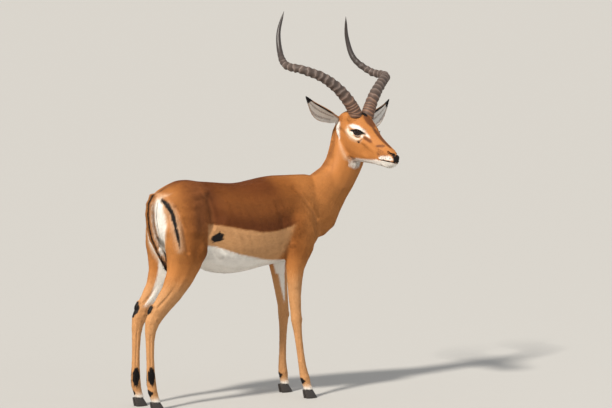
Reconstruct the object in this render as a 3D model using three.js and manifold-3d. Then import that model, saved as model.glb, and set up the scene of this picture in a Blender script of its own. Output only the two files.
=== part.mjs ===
// A life-size impala ram, standing square with its head turned to its right.
// Millimetres. +X is forward, +Y the animal's left, +Z up, and the floor is at z = 0.
// Every part of the body is a loft: closed rings of points set along a line and joined by faces.
import * as THREE from 'three';
import { mergeVertices } from 'three/addons/utils/BufferGeometryUtils.js';
import Module from 'manifold-3d';

const wasm = await Module();
wasm.setup();

const RIGHT = -1;
const LEFT = 1;

// Driving sizes
const GAP = 0.3;                // space left between neighbouring parts
const RUMP_ENDS = -470;         // where the trunk is parted behind the belly
const CHEST_STARTS = -235;      // and in front of it
const BODY_SIDES = 20;          // faces round the trunk
const BODY_STEPS = 23;          // faces along it
const NECK_SIDES = 18;
const NECK_STEPS = 12;
const HEAD_SIDES = 18;
const HEAD_STEPS = 17;
const LEG_SIDES = 10;
const LEG_STEPS = 18;
const TAIL_SIDES = 9;
const TAIL_STEPS = 10;
const EAR_STEPS = 11;
const EAR_SIDES = 7;            // points over the outside of an ear, and as many inside
const HORN_SIDES = 8;
const HORN_BASE = 25;           // radius of a horn where it leaves the skull
const HORN_RIDGES = 17;
const HORN_END_STEPS = 9;       // rings past the last ridge
const HORN_RIDGE_HEIGHT = 2.2;
const HORN_SMOOTH_FROM = 0.68;  // share of the horn's length where the ridges fade out
const EAR_WALL = 5;
const EYE_RADIUS = 17.5;
const HOOF_HEIGHT = 34;
const HOOF_SLIT = 1.6;          // half the gap between the two claws of a foot

// The head hangs on the point midway between the horns, and is turned, lowered and tipped.
const HEAD_AT = new THREE.Vector3(209, -70, 1085);
const HEAD_TURN = THREE.MathUtils.degToRad(-80);
const HEAD_PITCH = THREE.MathUtils.degToRad(21);
const HEAD_ROLL = THREE.MathUtils.degToRad(-6);

const COAT = { color: 0xb5682f, roughness: 0.85 };
const FACE = { color: 0xbb6f36, roughness: 0.8 };
const INNER_EAR = { color: 0xc9a88a, roughness: 0.9 };
const HORN = { color: 0x4d4038, roughness: 0.6 };
const HOOF = { color: 0x262120, roughness: 0.45 };
const EYE = { color: 0x120c0a, roughness: 0.08 };

// Trunk, from the rump to the breast: [x, back, belly, half width, height of the widest line]
const TRUNK = [
  [-692, 770, 690, 26, 736],
  [-680, 802, 642, 62, 730],
  [-650, 826, 608, 90, 724],
  [-600, 849, 590, 103, 724],
  [-552, 862, 562, 107, 726],
  [-500, 853, 528, 109, 715],
  [-450, 848, 506, 116, 690],
  [-394, 842, 494, 126, 660],
  [-340, 837, 492, 131, 648],
  [-280, 841, 499, 130, 648],
  [-220, 852, 510, 123, 654],
  [-160, 858, 517, 113, 664],
  [-105, 857, 521, 104, 670],
  [-50, 855, 530, 94, 674],
  [0, 853, 556, 80, 680],
  [34, 842, 592, 60, 692],
  [58, 806, 634, 36, 704],
  [72, 764, 676, 13, 714],
];

// Neck, from the shoulders to the skull: [x, y, z, throat, nape, half width, turn in degrees]
const NECK = [
  [-34, 0, 664, 92, 84, 62, 0],
  [22, 0, 718, 122, 116, 76, 0],
  [84, 0, 786, 95, 90, 68, 0],
  [132, 0, 852, 92, 57, 60, -6],
  [166, 0, 912, 89, 58, 55, -16],
  [188, 2, 966, 78, 61, 51, -32],
  [197, 6, 1020, 60, 57, 49, -54],
  [197, -2, 1060, 40, 34, 36, -72],
];

// Foreleg, from the shoulder blade to the coronet: [x, out, z, front, back, half width]
const FORELEG = [
  [-142, 58, 800, 34, 40, 16],
  [-118, 70, 740, 58, 64, 27],
  [-88, 80, 672, 74, 76, 36],
  [-72, 85, 616, 74, 66, 39],
  [-88, 84, 562, 58, 54, 36],
  [-100, 82, 518, 40, 45, 31],
  [-98, 82, 470, 32, 34, 27],
  [-94, 82, 405, 26, 26, 23],
  [-88, 83, 345, 21, 22, 20],
  [-83, 84, 302, 22, 20, 20],
  [-80, 85, 266, 16, 17, 16],
  [-74, 87, 215, 13.5, 14.5, 13],
  [-66, 90, 150, 13.5, 15, 12.5],
  [-60, 92, 110, 14.5, 17, 14],
  [-54, 93, 82, 17, 21, 16.5],
  [-45, 94, 55, 15, 16, 15.5],
  [-33, 95, 26, 18, 18, 17.5],
];
// `cuts` are the heights where a leg is parted, and `bend` those between which it may be shifted
const FORE = { rows: FORELEG, bend: [310, 640], cuts: [66, 268] };

// Hind leg, from the hip to the coronet, in the same columns
const HIND_LEG = [
  [-556, 50, 802, 50, 60, 26],
  [-562, 60, 756, 84, 94, 41],
  [-576, 69, 696, 100, 104, 50],
  [-586, 75, 628, 98, 92, 51],
  [-594, 79, 562, 82, 76, 45],
  [-620, 81, 496, 60, 56, 34],
  [-664, 80, 432, 42, 44, 25],
  [-708, 79, 386, 32, 38, 20],
  [-737, 78, 348, 28, 36, 20],
  [-745, 77, 310, 23, 25, 17],
  [-747, 76, 268, 17, 18, 14],
  [-746, 75, 200, 14.5, 15.5, 12.5],
  [-744, 75, 130, 14.5, 19, 13],
  [-740, 75, 85, 17, 21, 16.5],
  [-730, 75, 56, 15.5, 16.5, 15.5],
  [-718, 75, 26, 17.5, 17.5, 17],
];
const HIND = { rows: HIND_LEG, bend: [340, 640], cuts: [66, 318] };

// Tail: [x, y, z, half depth, half width]
const TAIL = [
  [-630, 0, 800, 12, 17],
  [-668, 0, 806, 15, 18],
  [-695, 0, 782, 13, 18],
  [-704, 0, 728, 11, 18],
  [-698, -8, 658, 10, 18],
  [-680, -24, 604, 10, 18],
  [-664, -38, 566, 9, 14],
  [-658, -44, 542, 5, 6],
];

// Head, back to front in its own frame: [x, top, bottom, half width, height of the widest line]
const HEAD = [
  [-84, -46, -98, 26, -70],
  [-66, -20, -126, 44, -68],
  [-38, -4, -150, 51, -64],
  [-8, 3, -166, 53, -60],
  [24, 2, -175, 52, -58],
  [54, -8, -176, 49, -60],
  [82, -22, -171, 44, -66],
  [112, -35, -161, 37, -78],
  [142, -45, -151, 33, -88],
  [172, -51, -142, 30, -94],
  [200, -56, -135, 28, -96],
  [224, -61, -129, 26.5, -94],
  [242, -68, -121, 21, -92],
  [254, -80, -108, 11, -92],
];
const BROW = { at: [56, 37, -53], size: [34, 17, 22] };
const EYE_AT = [58, 44, -57];

// Line of the left horn from the skull to the tip, in the head's frame
const HORN_LINE = [
  [6, 33, -16], [0, 36, 0], [-48, 89, 58], [-97, 158, 94], [-155, 228, 101],
  [-239, 235, 83], [-317, 205, 102], [-374, 190, 163], [-402, 172, 243],
];

// Each ear by its root, its tip, the way its hollow faces and how far its middle bows out of the
// line from root to tip. The left one is turned further forward.
const EARS = {
  [LEFT]: { root: [-30, 50, -62], tip: [-94, 231, 27], opens: [0.9, -0.3, 0.1], bow: [12, 14, -14] },
  [RIGHT]: { root: [-62, -42, -67], tip: [-98, -222, 14], opens: [0.82, -0.1, -0.5], bow: [0, 0, -17] },
};
// [share of the length, half width, depth of the hollow]
const EAR_SHAPE = [
  [0, 20, 20], [0.15, 24, 21], [0.3, 32, 19], [0.46, 34, 16],
  [0.62, 28, 12], [0.78, 17, 8], [0.91, 9, 4.5], [1, 2.5, 2],
];

// ---- tools ----

const FORWARD = new THREE.Vector3(1, 0, 0);
const ACROSS = new THREE.Vector3(0, 1, 0);
const UP = new THREE.Vector3(0, 0, 1);

function solidOf(geometry) {
  const bare = geometry.clone();
  bare.deleteAttribute('normal');
  bare.deleteAttribute('uv');
  const merged = mergeVertices(bare, 1e-3);
  return new wasm.Manifold(new wasm.Mesh({
    numProp: 3,
    vertProperties: merged.attributes.position.array,
    triVerts: new Uint32Array(merged.index.array),
  }));
}

// A closed solid over rings that all hold the same number of points. Each end is closed by a fan
// to the middle of its ring. Rings that wind the other way round are turned.
function loft(rings) {
  const sides = rings[0].length;
  const last = (rings.length - 1) * sides;
  const points = rings.flat();
  const faces = [];
  for (let i = 0; i < last; i += sides) {
    for (let j = 0; j < sides; j++) {
      const a = i + j;
      const b = i + (j + 1) % sides;
      faces.push(a, b, b + sides, a, b + sides, a + sides);
    }
  }
  for (const [ring, first, flip] of [[rings[0], 0, true], [rings.at(-1), last, false]]) {
    const middle = points.length;
    points.push(ring.reduce((sum, p) => sum.add(p), new THREE.Vector3()).divideScalar(sides));
    for (let j = 0; j < sides; j++) {
      const a = first + j;
      const b = first + (j + 1) % sides;
      faces.push(...(flip ? [b, a, middle] : [a, b, middle]));
    }
  }
  const geometry = new THREE.BufferGeometry().setFromPoints(points);
  geometry.setIndex(faces);
  const solid = solidOf(geometry);
  return solid.volume() > 0 ? solid : loft(rings.map((one) => [...one].reverse()));
}

// Values between the rows of a table, by one smooth curve for each column
function smooth(rows) {
  const columns = rows[0].map((_, c) => new THREE.CatmullRomCurve3(
    rows.map((row) => new THREE.Vector3(row[c], 0, 0)), false, 'catmullrom', 0.5));
  return (t) => columns.map((curve) => curve.getPoint(t).x);
}

function spread(rows, steps) {
  const at = smooth(rows);
  return Array.from({ length: steps + 1 }, (_, i) => at(i / steps));
}

// One ring: `across` and `up` are its axes, and the shape is fuller than an ellipse where full > 0
function ring(centre, across, up, halfWidth, rise, drop, sides, full = 0) {
  const power = 1 - full;
  return Array.from({ length: sides }, (_, j) => {
    const angle = 2 * Math.PI * j / sides;
    const c = Math.sign(Math.cos(angle)) * Math.abs(Math.cos(angle)) ** power;
    const s = Math.sign(Math.sin(angle)) * Math.abs(Math.sin(angle)) ** power;
    return centre.clone()
      .addScaledVector(across, halfWidth * c)
      .addScaledVector(up, (s > 0 ? rise : drop) * s);
  });
}

// Lofts upright rings of [x, top, bottom, half width, height of the widest line] along x
function upright(rows, steps, sides, grow, full) {
  return loft(spread(rows, steps).map(([x, top, bottom, width, widest], i) => {
    const end = i === 0 ? -grow : i === steps ? grow : 0;
    const centre = new THREE.Vector3(x + end, 0, widest);
    return ring(centre, ACROSS, UP, width + grow, top - widest + grow, widest - bottom + grow, sides, full);
  }));
}

// Lofts rows of [x, y, z, front, back, half width, turn] along the line that their centres make
function limb(rows, steps, sides, grow = 0, full = 0) {
  const stations = spread(rows, steps);
  const centres = stations.map(([x, y, z]) => new THREE.Vector3(x, y, z));
  const rings = stations.map(([, , , front, back, width, turn = 0], i) => {
    const onward = centres[Math.min(i + 1, steps)].clone().sub(centres[Math.max(i - 1, 0)]).normalize();
    const left = ACROSS.clone().applyAxisAngle(UP, THREE.MathUtils.degToRad(turn));
    const forward = new THREE.Vector3().crossVectors(left, onward).normalize();
    const across = new THREE.Vector3().crossVectors(onward, forward);
    return ring(centres[i], across, forward, width + grow, front + grow, back + grow, sides, full);
  });
  return loft(rings);
}


function ellipsoid(centre, [a, b, c], grow = 0) {
  const ball = new THREE.SphereGeometry(1, 14, 8);
  ball.scale(a + grow, b + grow, c + grow);
  ball.translate(...centre.toArray());
  return solidOf(ball);
}

function slab(low, high) {
  const size = new THREE.Vector3().subVectors(high, low);
  const box = new THREE.BoxGeometry(size.x, size.y, size.z);
  const middle = new THREE.Vector3().addVectors(low, high).multiplyScalar(0.5);
  box.translate(middle.x, middle.y, middle.z);
  return solidOf(box);
}

// Parts a solid by level cuts across one axis and gives the pieces from low to high
function partAlong(solid, axis, cuts) {
  const far = 3000;
  const edges = [-far, ...cuts, far];
  return edges.slice(1).map((top, i) => {
    const low = new THREE.Vector3(-far, -far, -far);
    const high = new THREE.Vector3(far, far, far);
    low[axis] = edges[i] + (i ? GAP / 2 : 0);
    high[axis] = top - GAP / 2;
    return largest(solid.intersect(slab(low, high)));
  });
}

function largest(solid) {
  return solid.decompose().sort((a, b) => b.volume() - a.volume())[0];
}

function meshOf(name, solid, look) {
  const made = solid.getMesh();
  const geometry = new THREE.BufferGeometry();
  geometry.setAttribute('position', new THREE.BufferAttribute(made.vertProperties, 3));
  geometry.setIndex(new THREE.BufferAttribute(made.triVerts, 1));
  geometry.computeVertexNormals();
  const mesh = new THREE.Mesh(geometry, new THREE.MeshStandardMaterial(look));
  mesh.name = name;
  return mesh;
}

// ---- body ----

function trunk(grow = 0) {
  return upright(TRUNK, BODY_STEPS, BODY_SIDES, grow, 0.1);
}

function neck(grow = 0) {
  return limb(NECK, NECK_STEPS, NECK_SIDES, grow, 0.05);
}

// `shift` holds how far the top, the knee or hock and the foot are moved along x
function leg({ like, side, shift }, grow = 0) {
  const [top, joint, foot] = shift;
  const [jointHeight, topHeight] = like.bend;
  const placed = like.rows.map(([x, out, z, ...sizes]) => {
    const above = THREE.MathUtils.smoothstep(z, jointHeight, topHeight);
    const below = THREE.MathUtils.clamp(1 - z / jointHeight, 0, 1);
    return [x + joint + (top - joint) * above + (foot - joint) * below, side * out, z, ...sizes];
  });
  return limb(placed, LEG_STEPS, LEG_SIDES, grow, 0.04);
}

function tail(grow = 0) {
  const rows = TAIL.map(([x, y, z, depth, width]) => [x, y, z, depth, depth, width]);
  return limb(rows, TAIL_STEPS, TAIL_SIDES, grow);
}

// One claw of a hoof: a wedge with a flat sole, flat on its inner side
function claw(x, y, side) {
  const plan = [[-18, 1], [-21, 8], [-16, 14], [0, 17], [16, 14], [28, 8], [32, 1]];
  const layer = (z, scale, shift) => plan.map(([px, py]) => new THREE.Vector3(
    x + px * scale + shift, y + side * (HOOF_SLIT + py * scale), z));
  const top = HOOF_HEIGHT - GAP;
  return loft([layer(0, 0.98, 2), layer(5, 1, 1), layer(top - 12, 0.86, -6), layer(top, 0.74, -11)]);
}

// ---- head, in its own frame ----

function skull(grow = 0) {
  let solid = upright(HEAD, HEAD_STEPS, HEAD_SIDES, grow, 0.12);
  for (const side of [LEFT, RIGHT]) {
    solid = solid.add(ellipsoid(mirrored(BROW.at, side), BROW.size, grow));
  }
  return solid;
}

function mirrored(point, side) {
  return new THREE.Vector3(point[0], side * point[1], point[2]);
}

function eye(side, grow = 0) {
  return ellipsoid(mirrored(EYE_AT, side), [EYE_RADIUS, EYE_RADIUS, EYE_RADIUS], grow);
}

// Two rings make each ridge, a crest and a furrow, and the end past the ridges is smooth
function horn(side, grow = 0) {
  const line = new THREE.CatmullRomCurve3(HORN_LINE.map((p) => mirrored(p, side)), false, 'centripetal');
  const ridged = HORN_RIDGES * 2;
  const steps = ridged + HORN_END_STEPS;
  const rings = Array.from({ length: steps + 1 }, (_, i) => {
    const past = Math.max(i - ridged, 0) / HORN_END_STEPS;
    const t = HORN_SMOOTH_FROM * Math.min(i, ridged) / ridged + (1 - HORN_SMOOTH_FROM) * past;
    const taper = HORN_BASE * (1 - t) ** 0.6 * (1 - 0.1 * Math.sin(Math.PI * t)) + 0.8;
    const fade = THREE.MathUtils.clamp((HORN_SMOOTH_FROM - t) / 0.15, 0, 1);
    const ridge = HORN_RIDGE_HEIGHT * fade * (i % 2 ? 0.7 : -0.3);
    const radius = taper + ridge + grow;
    const ahead = line.getTangentAt(t);
    const across = FORWARD.clone().projectOnPlane(ahead).normalize();
    const up = new THREE.Vector3().crossVectors(ahead, across);
    return ring(line.getPointAt(t), across, up, radius, radius, radius, HORN_SIDES);
  });
  return loft(rings);
}

// A leaf that is rolled about its length: an outer arc and an inner arc make each ring
function ear(side) {
  const { root, tip, opens, bow } = EARS[side];
  const start = new THREE.Vector3(...root);
  const lengthways = new THREE.Vector3(...tip).sub(start);
  const hollow = new THREE.Vector3(...opens).projectOnPlane(lengthways.clone().normalize()).normalize();
  const across = new THREE.Vector3().crossVectors(lengthways, hollow).normalize();
  const rings = spread(EAR_SHAPE, EAR_STEPS).map(([share, width, depth]) => {
    const wall = Math.min(EAR_WALL, width * 0.4);
    const centre = start.clone().addScaledVector(lengthways, share);
    centre.addScaledVector(new THREE.Vector3(...bow), Math.sin(Math.PI * share));
    const arc = (inset) => Array.from({ length: EAR_SIDES }, (_, j) => {
      const angle = Math.PI * (j / (EAR_SIDES - 1));
      return centre.clone()
        .addScaledVector(across, (width - inset) * Math.cos(angle))
        .addScaledVector(hollow, inset * 0.1 - (depth - inset) * Math.sin(angle));
    });
    return [...arc(0), ...arc(wall).reverse()];
  });
  return loft(rings);
}

// ---- the animal ----

const impala = new THREE.Group();
const headGroup = new THREE.Group();
headGroup.position.copy(HEAD_AT);
headGroup.rotation.set(HEAD_ROLL, HEAD_PITCH, HEAD_TURN, 'ZYX');
headGroup.updateMatrix();
impala.add(headGroup);

// A solid of the head's frame, in the body's frame, and the other way round
function inBody(solid) {
  return solid.transform(headGroup.matrix.toArray());
}

function inHead(solid) {
  return solid.transform(headGroup.matrix.clone().invert().toArray());
}

const legs = [
  { name: 'foreleg_left', like: FORE, side: LEFT, shift: [16, 36, -4] },
  { name: 'foreleg_right', like: FORE, side: RIGHT, shift: [0, -14, -14] },
  { name: 'hindleg_left', like: HIND, side: LEFT, shift: [8, 36, 14] },
  { name: 'hindleg_right', like: HIND, side: RIGHT, shift: [0, 0, 0] },
];

let body = trunk();
let throat = neck().subtract(trunk(GAP)).subtract(inBody(skull(GAP)));
for (const one of legs) {
  const cutter = leg(one, GAP);
  body = body.subtract(cutter);
  throat = throat.subtract(cutter);
  const [, pastern, cannon, upper] = partAlong(leg(one), 'z', [HOOF_HEIGHT, ...one.like.cuts]);
  impala.add(meshOf(`${one.name}_upper`, upper, COAT));
  impala.add(meshOf(`${one.name}_cannon`, cannon, COAT));
  impala.add(meshOf(`${one.name}_pastern`, pastern, COAT));
  const [x, out] = one.like.rows.at(-1);
  for (const [place, way] of [['outer', one.side], ['inner', -one.side]]) {
    impala.add(meshOf(`${one.name}_claw_${place}`, claw(x + one.shift[2], one.side * out, way), HOOF));
  }
}
body = body.subtract(tail(GAP));
const [rump, belly, chest] = partAlong(body, 'x', [RUMP_ENDS, CHEST_STARTS]);
impala.add(meshOf('rump', rump, COAT));
impala.add(meshOf('belly', belly, COAT));
impala.add(meshOf('chest', chest, COAT));
impala.add(meshOf('neck', largest(throat), COAT));
impala.add(meshOf('tail', tail(), COAT));

let face = skull();
const flesh = skull(2 * GAP).add(inHead(neck(GAP)));
for (const [name, side] of [['left', LEFT], ['right', RIGHT]]) {
  face = face.subtract(horn(side, GAP)).subtract(eye(side, GAP));
  headGroup.add(meshOf(`horn_${name}`, horn(side), HORN));
  headGroup.add(meshOf(`ear_${name}`, largest(ear(side).subtract(flesh)), INNER_EAR));
  headGroup.add(meshOf(`eye_${name}`, eye(side), EYE));
}
headGroup.add(meshOf('head', largest(face), FACE));

// The origin is on the floor, under the middle of the whole figure
impala.updateMatrixWorld(true);
const box = new THREE.Box3().setFromObject(impala, true);
const middle = box.getCenter(new THREE.Vector3());
impala.position.set(-middle.x, -middle.y, -box.min.z);

export default impala;
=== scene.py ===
"""A life-size impala ram: one skin with a short coat over it, horns, eyes and hooves."""

import math

import bmesh
import bpy
import numpy as np
from mathutils import Matrix, Vector


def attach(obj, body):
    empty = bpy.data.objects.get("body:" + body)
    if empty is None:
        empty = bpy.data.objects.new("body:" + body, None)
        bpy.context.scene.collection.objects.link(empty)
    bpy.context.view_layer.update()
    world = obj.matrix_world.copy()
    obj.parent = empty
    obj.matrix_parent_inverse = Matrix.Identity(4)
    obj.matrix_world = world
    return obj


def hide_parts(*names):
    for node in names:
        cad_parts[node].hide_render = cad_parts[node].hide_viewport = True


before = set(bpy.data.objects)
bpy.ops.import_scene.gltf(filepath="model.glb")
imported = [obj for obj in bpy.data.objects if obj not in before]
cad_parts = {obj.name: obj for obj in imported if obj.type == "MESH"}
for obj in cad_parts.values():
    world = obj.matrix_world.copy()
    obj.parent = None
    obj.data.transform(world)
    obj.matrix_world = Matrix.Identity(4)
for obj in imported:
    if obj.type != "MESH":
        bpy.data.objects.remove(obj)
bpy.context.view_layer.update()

rng = np.random.default_rng(7)

# ---- places and sizes, in millimetres ----

MM = 0.001
BODY_AT = np.array([162.77, 4.97, 0.0])        # the body's own frame in the figure's frame
HEAD_AT = np.array([371.77, -65.03, 1085.0])   # the point midway between the horns
HEAD_TURN = math.radians(-80)
HEAD_PITCH = math.radians(21)
HEAD_ROLL = math.radians(-6)

EYE_AT = np.array([58.0, 44.0, -57.0])         # head frame, left side
EYE_RADIUS = 17.5
HORN_BASE = 25.0
HORN_LINE = [
    (6, 33, -16), (0, 36, 0), (-48, 89, 58), (-97, 158, 94), (-155, 228, 101),
    (-239, 235, 83), (-317, 205, 102), (-374, 190, 163), (-402, 172, 243),
]
EARS = {   # head frame: root, tip, way the hollow faces, bow of the middle
    1: ((-30, 50, -62), (-94, 231, 27), (0.9, -0.3, 0.1), (12, 14, -14)),
    -1: ((-62, -42, -67), (-98, -222, 14), (0.82, -0.1, -0.5), (0, 0, -17)),
}
EAR_SHAPE = [   # share of the length, half width, depth
    (0, 20, 20), (0.15, 24, 21), (0.3, 32, 19), (0.46, 34, 16),
    (0.62, 28, 12), (0.78, 17, 8), (0.91, 9, 4.5), (1, 2.5, 2),
]
NECK_LINE = [   # body frame
    (-34, 0, 664), (22, 0, 718), (84, 0, 786), (132, 0, 852),
    (166, 0, 912), (188, 2, 966), (197, 6, 1020), (197, -2, 1060),
]
TAIL_LINE = [
    (-630, 0, 812), (-668, 0, 806), (-695, 0, 782), (-704, 0, 728),
    (-698, -8, 658), (-680, -24, 604), (-664, -38, 566), (-658, -44, 542),
]
FORE_LINE = [   # body frame, right side as it is before its shift
    (-142, 58, 800), (-118, 70, 740), (-88, 80, 672), (-72, 85, 616), (-88, 84, 562),
    (-100, 82, 518), (-98, 82, 470), (-94, 82, 405), (-88, 83, 345), (-83, 84, 302),
    (-80, 85, 266), (-74, 87, 215), (-66, 90, 150), (-60, 92, 110), (-54, 93, 82),
    (-45, 94, 55), (-33, 95, 26),
]
HIND_LINE = [
    (-556, 50, 802), (-562, 60, 756), (-576, 69, 696), (-586, 75, 628), (-594, 79, 562),
    (-620, 81, 496), (-664, 80, 432), (-708, 79, 386), (-737, 78, 348), (-745, 77, 310),
    (-747, 76, 268), (-746, 75, 200), (-744, 75, 130), (-740, 75, 85), (-730, 75, 56),
    (-718, 75, 26),
]
# For each leg: its line, the side, the heights between which it bends, and its shift at top,
# joint and foot
LEGS = {
    "foreleg_left": (FORE_LINE, 1, (310, 640), (16, 36, -4)),
    "foreleg_right": (FORE_LINE, -1, (310, 640), (0, -14, -14)),
    "hindleg_left": (HIND_LINE, 1, (340, 640), (8, 36, 14)),
    "hindleg_right": (HIND_LINE, -1, (340, 640), (0, 0, 0)),
}

BETWEEN_LEGS = -330.0     # the forelegs are ahead of this, the hind legs behind
LEG_TOP = 640.0           # a leg's own forms and lie of hair hold below this height
LEG_MARKS_TOP = 660.0


# ---- small tools ----

def bell(t):
    return np.clip(1.0 - t * t, 0.0, None) ** 2


def ease(low, high, value):
    t = np.clip((value - low) / (high - low), 0.0, 1.0)
    return t * t * (3.0 - 2.0 * t)


def unit(v):
    v = np.asarray(v, float)
    return v / np.maximum(np.linalg.norm(v, axis=-1, keepdims=True), 1e-9)


def head_matrix():
    turn = Matrix.Rotation(HEAD_TURN, 3, "Z")
    pitch = Matrix.Rotation(HEAD_PITCH, 3, "Y")
    roll = Matrix.Rotation(HEAD_ROLL, 3, "X")
    return np.array(turn @ pitch @ roll)


HEAD_AXES = head_matrix()


def to_head(points):
    return (points - HEAD_AT) @ HEAD_AXES


def from_head(points):
    return np.asarray(points, float) @ HEAD_AXES.T + HEAD_AT


def to_body(points):
    return points - BODY_AT


def run_of(path):
    """Length of a polyline from its start to each of its points."""
    return np.concatenate([[0], np.cumsum(np.linalg.norm(np.diff(path, axis=0), axis=1))])


def read_along(share, lengths, values):
    """Values given at a polyline's points, read at shares of its length."""
    return np.stack([np.interp(share * lengths[-1], lengths, values[:, i]) for i in range(3)], 1)


def along(points, path):
    """Distance to a polyline, and the share of its length at the nearest point."""
    path = np.asarray(path, float)
    starts = run_of(path)
    steps = np.linalg.norm(np.diff(path, axis=0), axis=1)
    best = np.full(len(points), 1e9)
    share = np.zeros(len(points))
    for i, step in enumerate(steps):
        way = (path[i + 1] - path[i]) / step
        t = np.clip((points - path[i]) @ way, 0, step)
        away = np.linalg.norm(points - path[i] - t[:, None] * way, axis=1)
        nearer = away < best
        best = np.where(nearer, away, best)
        share = np.where(nearer, (starts[i] + t) / starts[-1], share)
    return best, share


def near(points, path, reach):
    """Which points are inside the box round a path."""
    path = np.atleast_2d(np.asarray(path, float))
    low = path.min(0) - reach
    high = path.max(0) + reach
    return np.all((points > low) & (points < high), axis=1)


def closeness(points, path, reach):
    """1 on a path or at a single point, falling to 0 at its reach."""
    found = np.zeros(len(points))
    some = near(points, path, reach)
    if not some.any():
        return found
    if len(path) == 1:
        away = np.linalg.norm(points[some] - np.array(path[0], float), axis=1)
    else:
        away = along(points[some], path)[0]
    found[some] = bell(away / reach)
    return found


def leg_shift(z, bend, shift):
    top, joint, foot = shift
    above = ease(bend[0], bend[1], z)
    below = np.clip(1 - z / bend[0], 0, 1)
    return joint + (top - joint) * above + (foot - joint) * below


def leg_path(name):
    """The leg's own line in the body's frame."""
    line, side, bend, shift = LEGS[name]
    line = np.asarray(line, float)
    x = line[:, 0] + leg_shift(line[:, 2], bend, shift)
    return np.stack([x, side * line[:, 1], line[:, 2]], axis=1)


def on_leg(points, name):
    """A leg's own coordinates for points of the body's frame: the shift taken out, and outward
    always positive."""
    _, side, bend, shift = LEGS[name]
    moved = points.copy()
    moved[:, 0] -= leg_shift(points[:, 2], bend, shift)
    moved[:, 1] *= side
    return moved


def of_leg(b, name, top):
    """Which points of the body's frame are a leg's, below a height."""
    fore = b[:, 0] > BETWEEN_LEGS
    return (b[:, 2] < top) & (LEGS[name][1] * b[:, 1] > 0) & (fore == name.startswith("fore"))


# ---- scene helpers ----

def deselect():
    for one in list(bpy.context.selected_objects):
        one.select_set(False)


def pick(*pieces):
    deselect()
    for one in pieces:
        one.select_set(True)
    bpy.context.view_layer.objects.active = pieces[-1]


def link(name, mesh):
    piece = bpy.data.objects.new(name, mesh)
    bpy.context.scene.collection.objects.link(piece)
    return piece


def mesh_from(name, points, faces):
    mesh = bpy.data.meshes.new(name)
    mesh.from_pydata([tuple(p) for p in points], [], faces)
    mesh.update()
    return mesh


def points_of(mesh):
    co = np.empty(len(mesh.vertices) * 3, np.float32)
    mesh.vertices.foreach_get("co", co)
    return co.reshape(-1, 3).astype(float) / MM


def normals_of(mesh):
    n = np.empty(len(mesh.vertices) * 3, np.float32)
    mesh.vertex_normals.foreach_get("vector", n)
    return n.reshape(-1, 3).astype(float)


def place_points(mesh, points):
    mesh.vertices.foreach_set("co", (points * MM).astype(np.float32).ravel())
    mesh.update()


def apply_modifier(piece, kind, **values):
    pick(piece)
    made = piece.modifiers.new(kind.lower(), kind)
    for key, value in values.items():
        setattr(made, key, value)
    bpy.ops.object.modifier_apply(modifier=made.name)


def weight_group(piece, name, weights, levels=40):
    group = piece.vertex_groups.new(name=name)
    steps = np.rint(np.clip(weights, 0, 1) * levels).astype(int)
    for level in range(1, levels + 1):
        members = np.nonzero(steps == level)[0]
        if len(members):
            group.add(members.tolist(), level / levels, "REPLACE")


def merged_copy(node, name):
    piece = link(name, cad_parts[node].data.copy())
    piece.data.materials.clear()
    work = bmesh.new()
    work.from_mesh(piece.data)
    bmesh.ops.remove_doubles(work, verts=work.verts, dist=1e-5)
    work.to_mesh(piece.data)
    work.free()
    return piece


# ---- regions of the body ----

BEHIND_JAW = np.array([-40.0, 0, -120.0])     # head frame: where the head's coat begins
NECK_FOOT = np.array([20.0, 0, 790.0])        # body frame: where the neck's coat begins


def ear_place(h, side):
    """Share along an ear, places across it and out of its hollow, each over its half size."""
    root, tip, opens, bow = (np.array(v, float) for v in EARS[side])
    lengthways = tip - root
    size = np.linalg.norm(lengthways)
    ahead = lengthways / size
    share = (h - root) @ ahead / size
    hollow = unit(opens - ahead * (opens @ ahead))
    across = np.cross(ahead, hollow)
    inside = np.clip(share, 0, 1)
    centre = root + inside[:, None] * lengthways + np.sin(math.pi * inside)[:, None] * bow
    rows = np.array(EAR_SHAPE, float)
    width = np.interp(inside, rows[:, 0], rows[:, 1])
    depth = np.interp(inside, rows[:, 0], rows[:, 2])
    d = h - centre
    return share, d @ across / width, d @ hollow / depth, across, hollow, ahead


def regions(points):
    """Weights from 0 to 1 of the regions that the lie of the coat and its colours go by."""
    b = to_body(points)
    h = to_head(points)
    head = ease(-14, 14, (h - BEHIND_JAW) @ np.array([0.8, 0, 0.6]))
    ear = np.zeros(len(points))
    for side in (1, -1):
        share, u, v = ear_place(h, side)[:3]
        fits = ease(1.7, 1.3, np.hypot(u, v))
        beyond = side * h[:, 1] - abs(EARS[side][0][1])
        ear = np.maximum(ear, ease(0.0, 0.12, share) * fits * ease(-6, 8, beyond))
    from_ham = b[:, 0] + 0.25 * (640 - b[:, 2]).clip(0)
    tail = ease(33, 26, along(b, TAIL_LINE)[0]) * ease(-662, -690, from_ham)
    tail = np.maximum(tail, ease(23, 18, along(b, TAIL_LINE[4:])[0]) * ease(650, 600, b[:, 2]))
    neck_side = (b - NECK_FOOT) @ np.array([0.55, 0, 0.83])
    neck = ease(-60, 60, neck_side) * (1 - head)
    leg = np.where(b[:, 0] > BETWEEN_LEGS, ease(600, 500, b[:, 2]), ease(LEG_TOP, 480, b[:, 2]))
    return {"head": head, "ear": ear, "tail": tail, "neck": neck * (1 - ear), "leg": leg * (1 - tail)}


# ---- skin ----

INFLATE = 0.9           # closes the thin gaps between neighbouring nodes
SKIN_GRAIN = 2.0        # spacing of the remeshed skin
SMOOTH_STEPS = 240
SKIN_FACES = 188000
EYE_NODES = ["eye_left", "eye_right"]
HORN_PLUG_AT = (1.0, 34.0, -25.0)     # fills the horns' sockets, left side of the head frame
HORN_PLUG_RADIUS = 25

FLESH = [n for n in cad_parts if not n.startswith(("horn", "eye")) and "claw" not in n]


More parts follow.
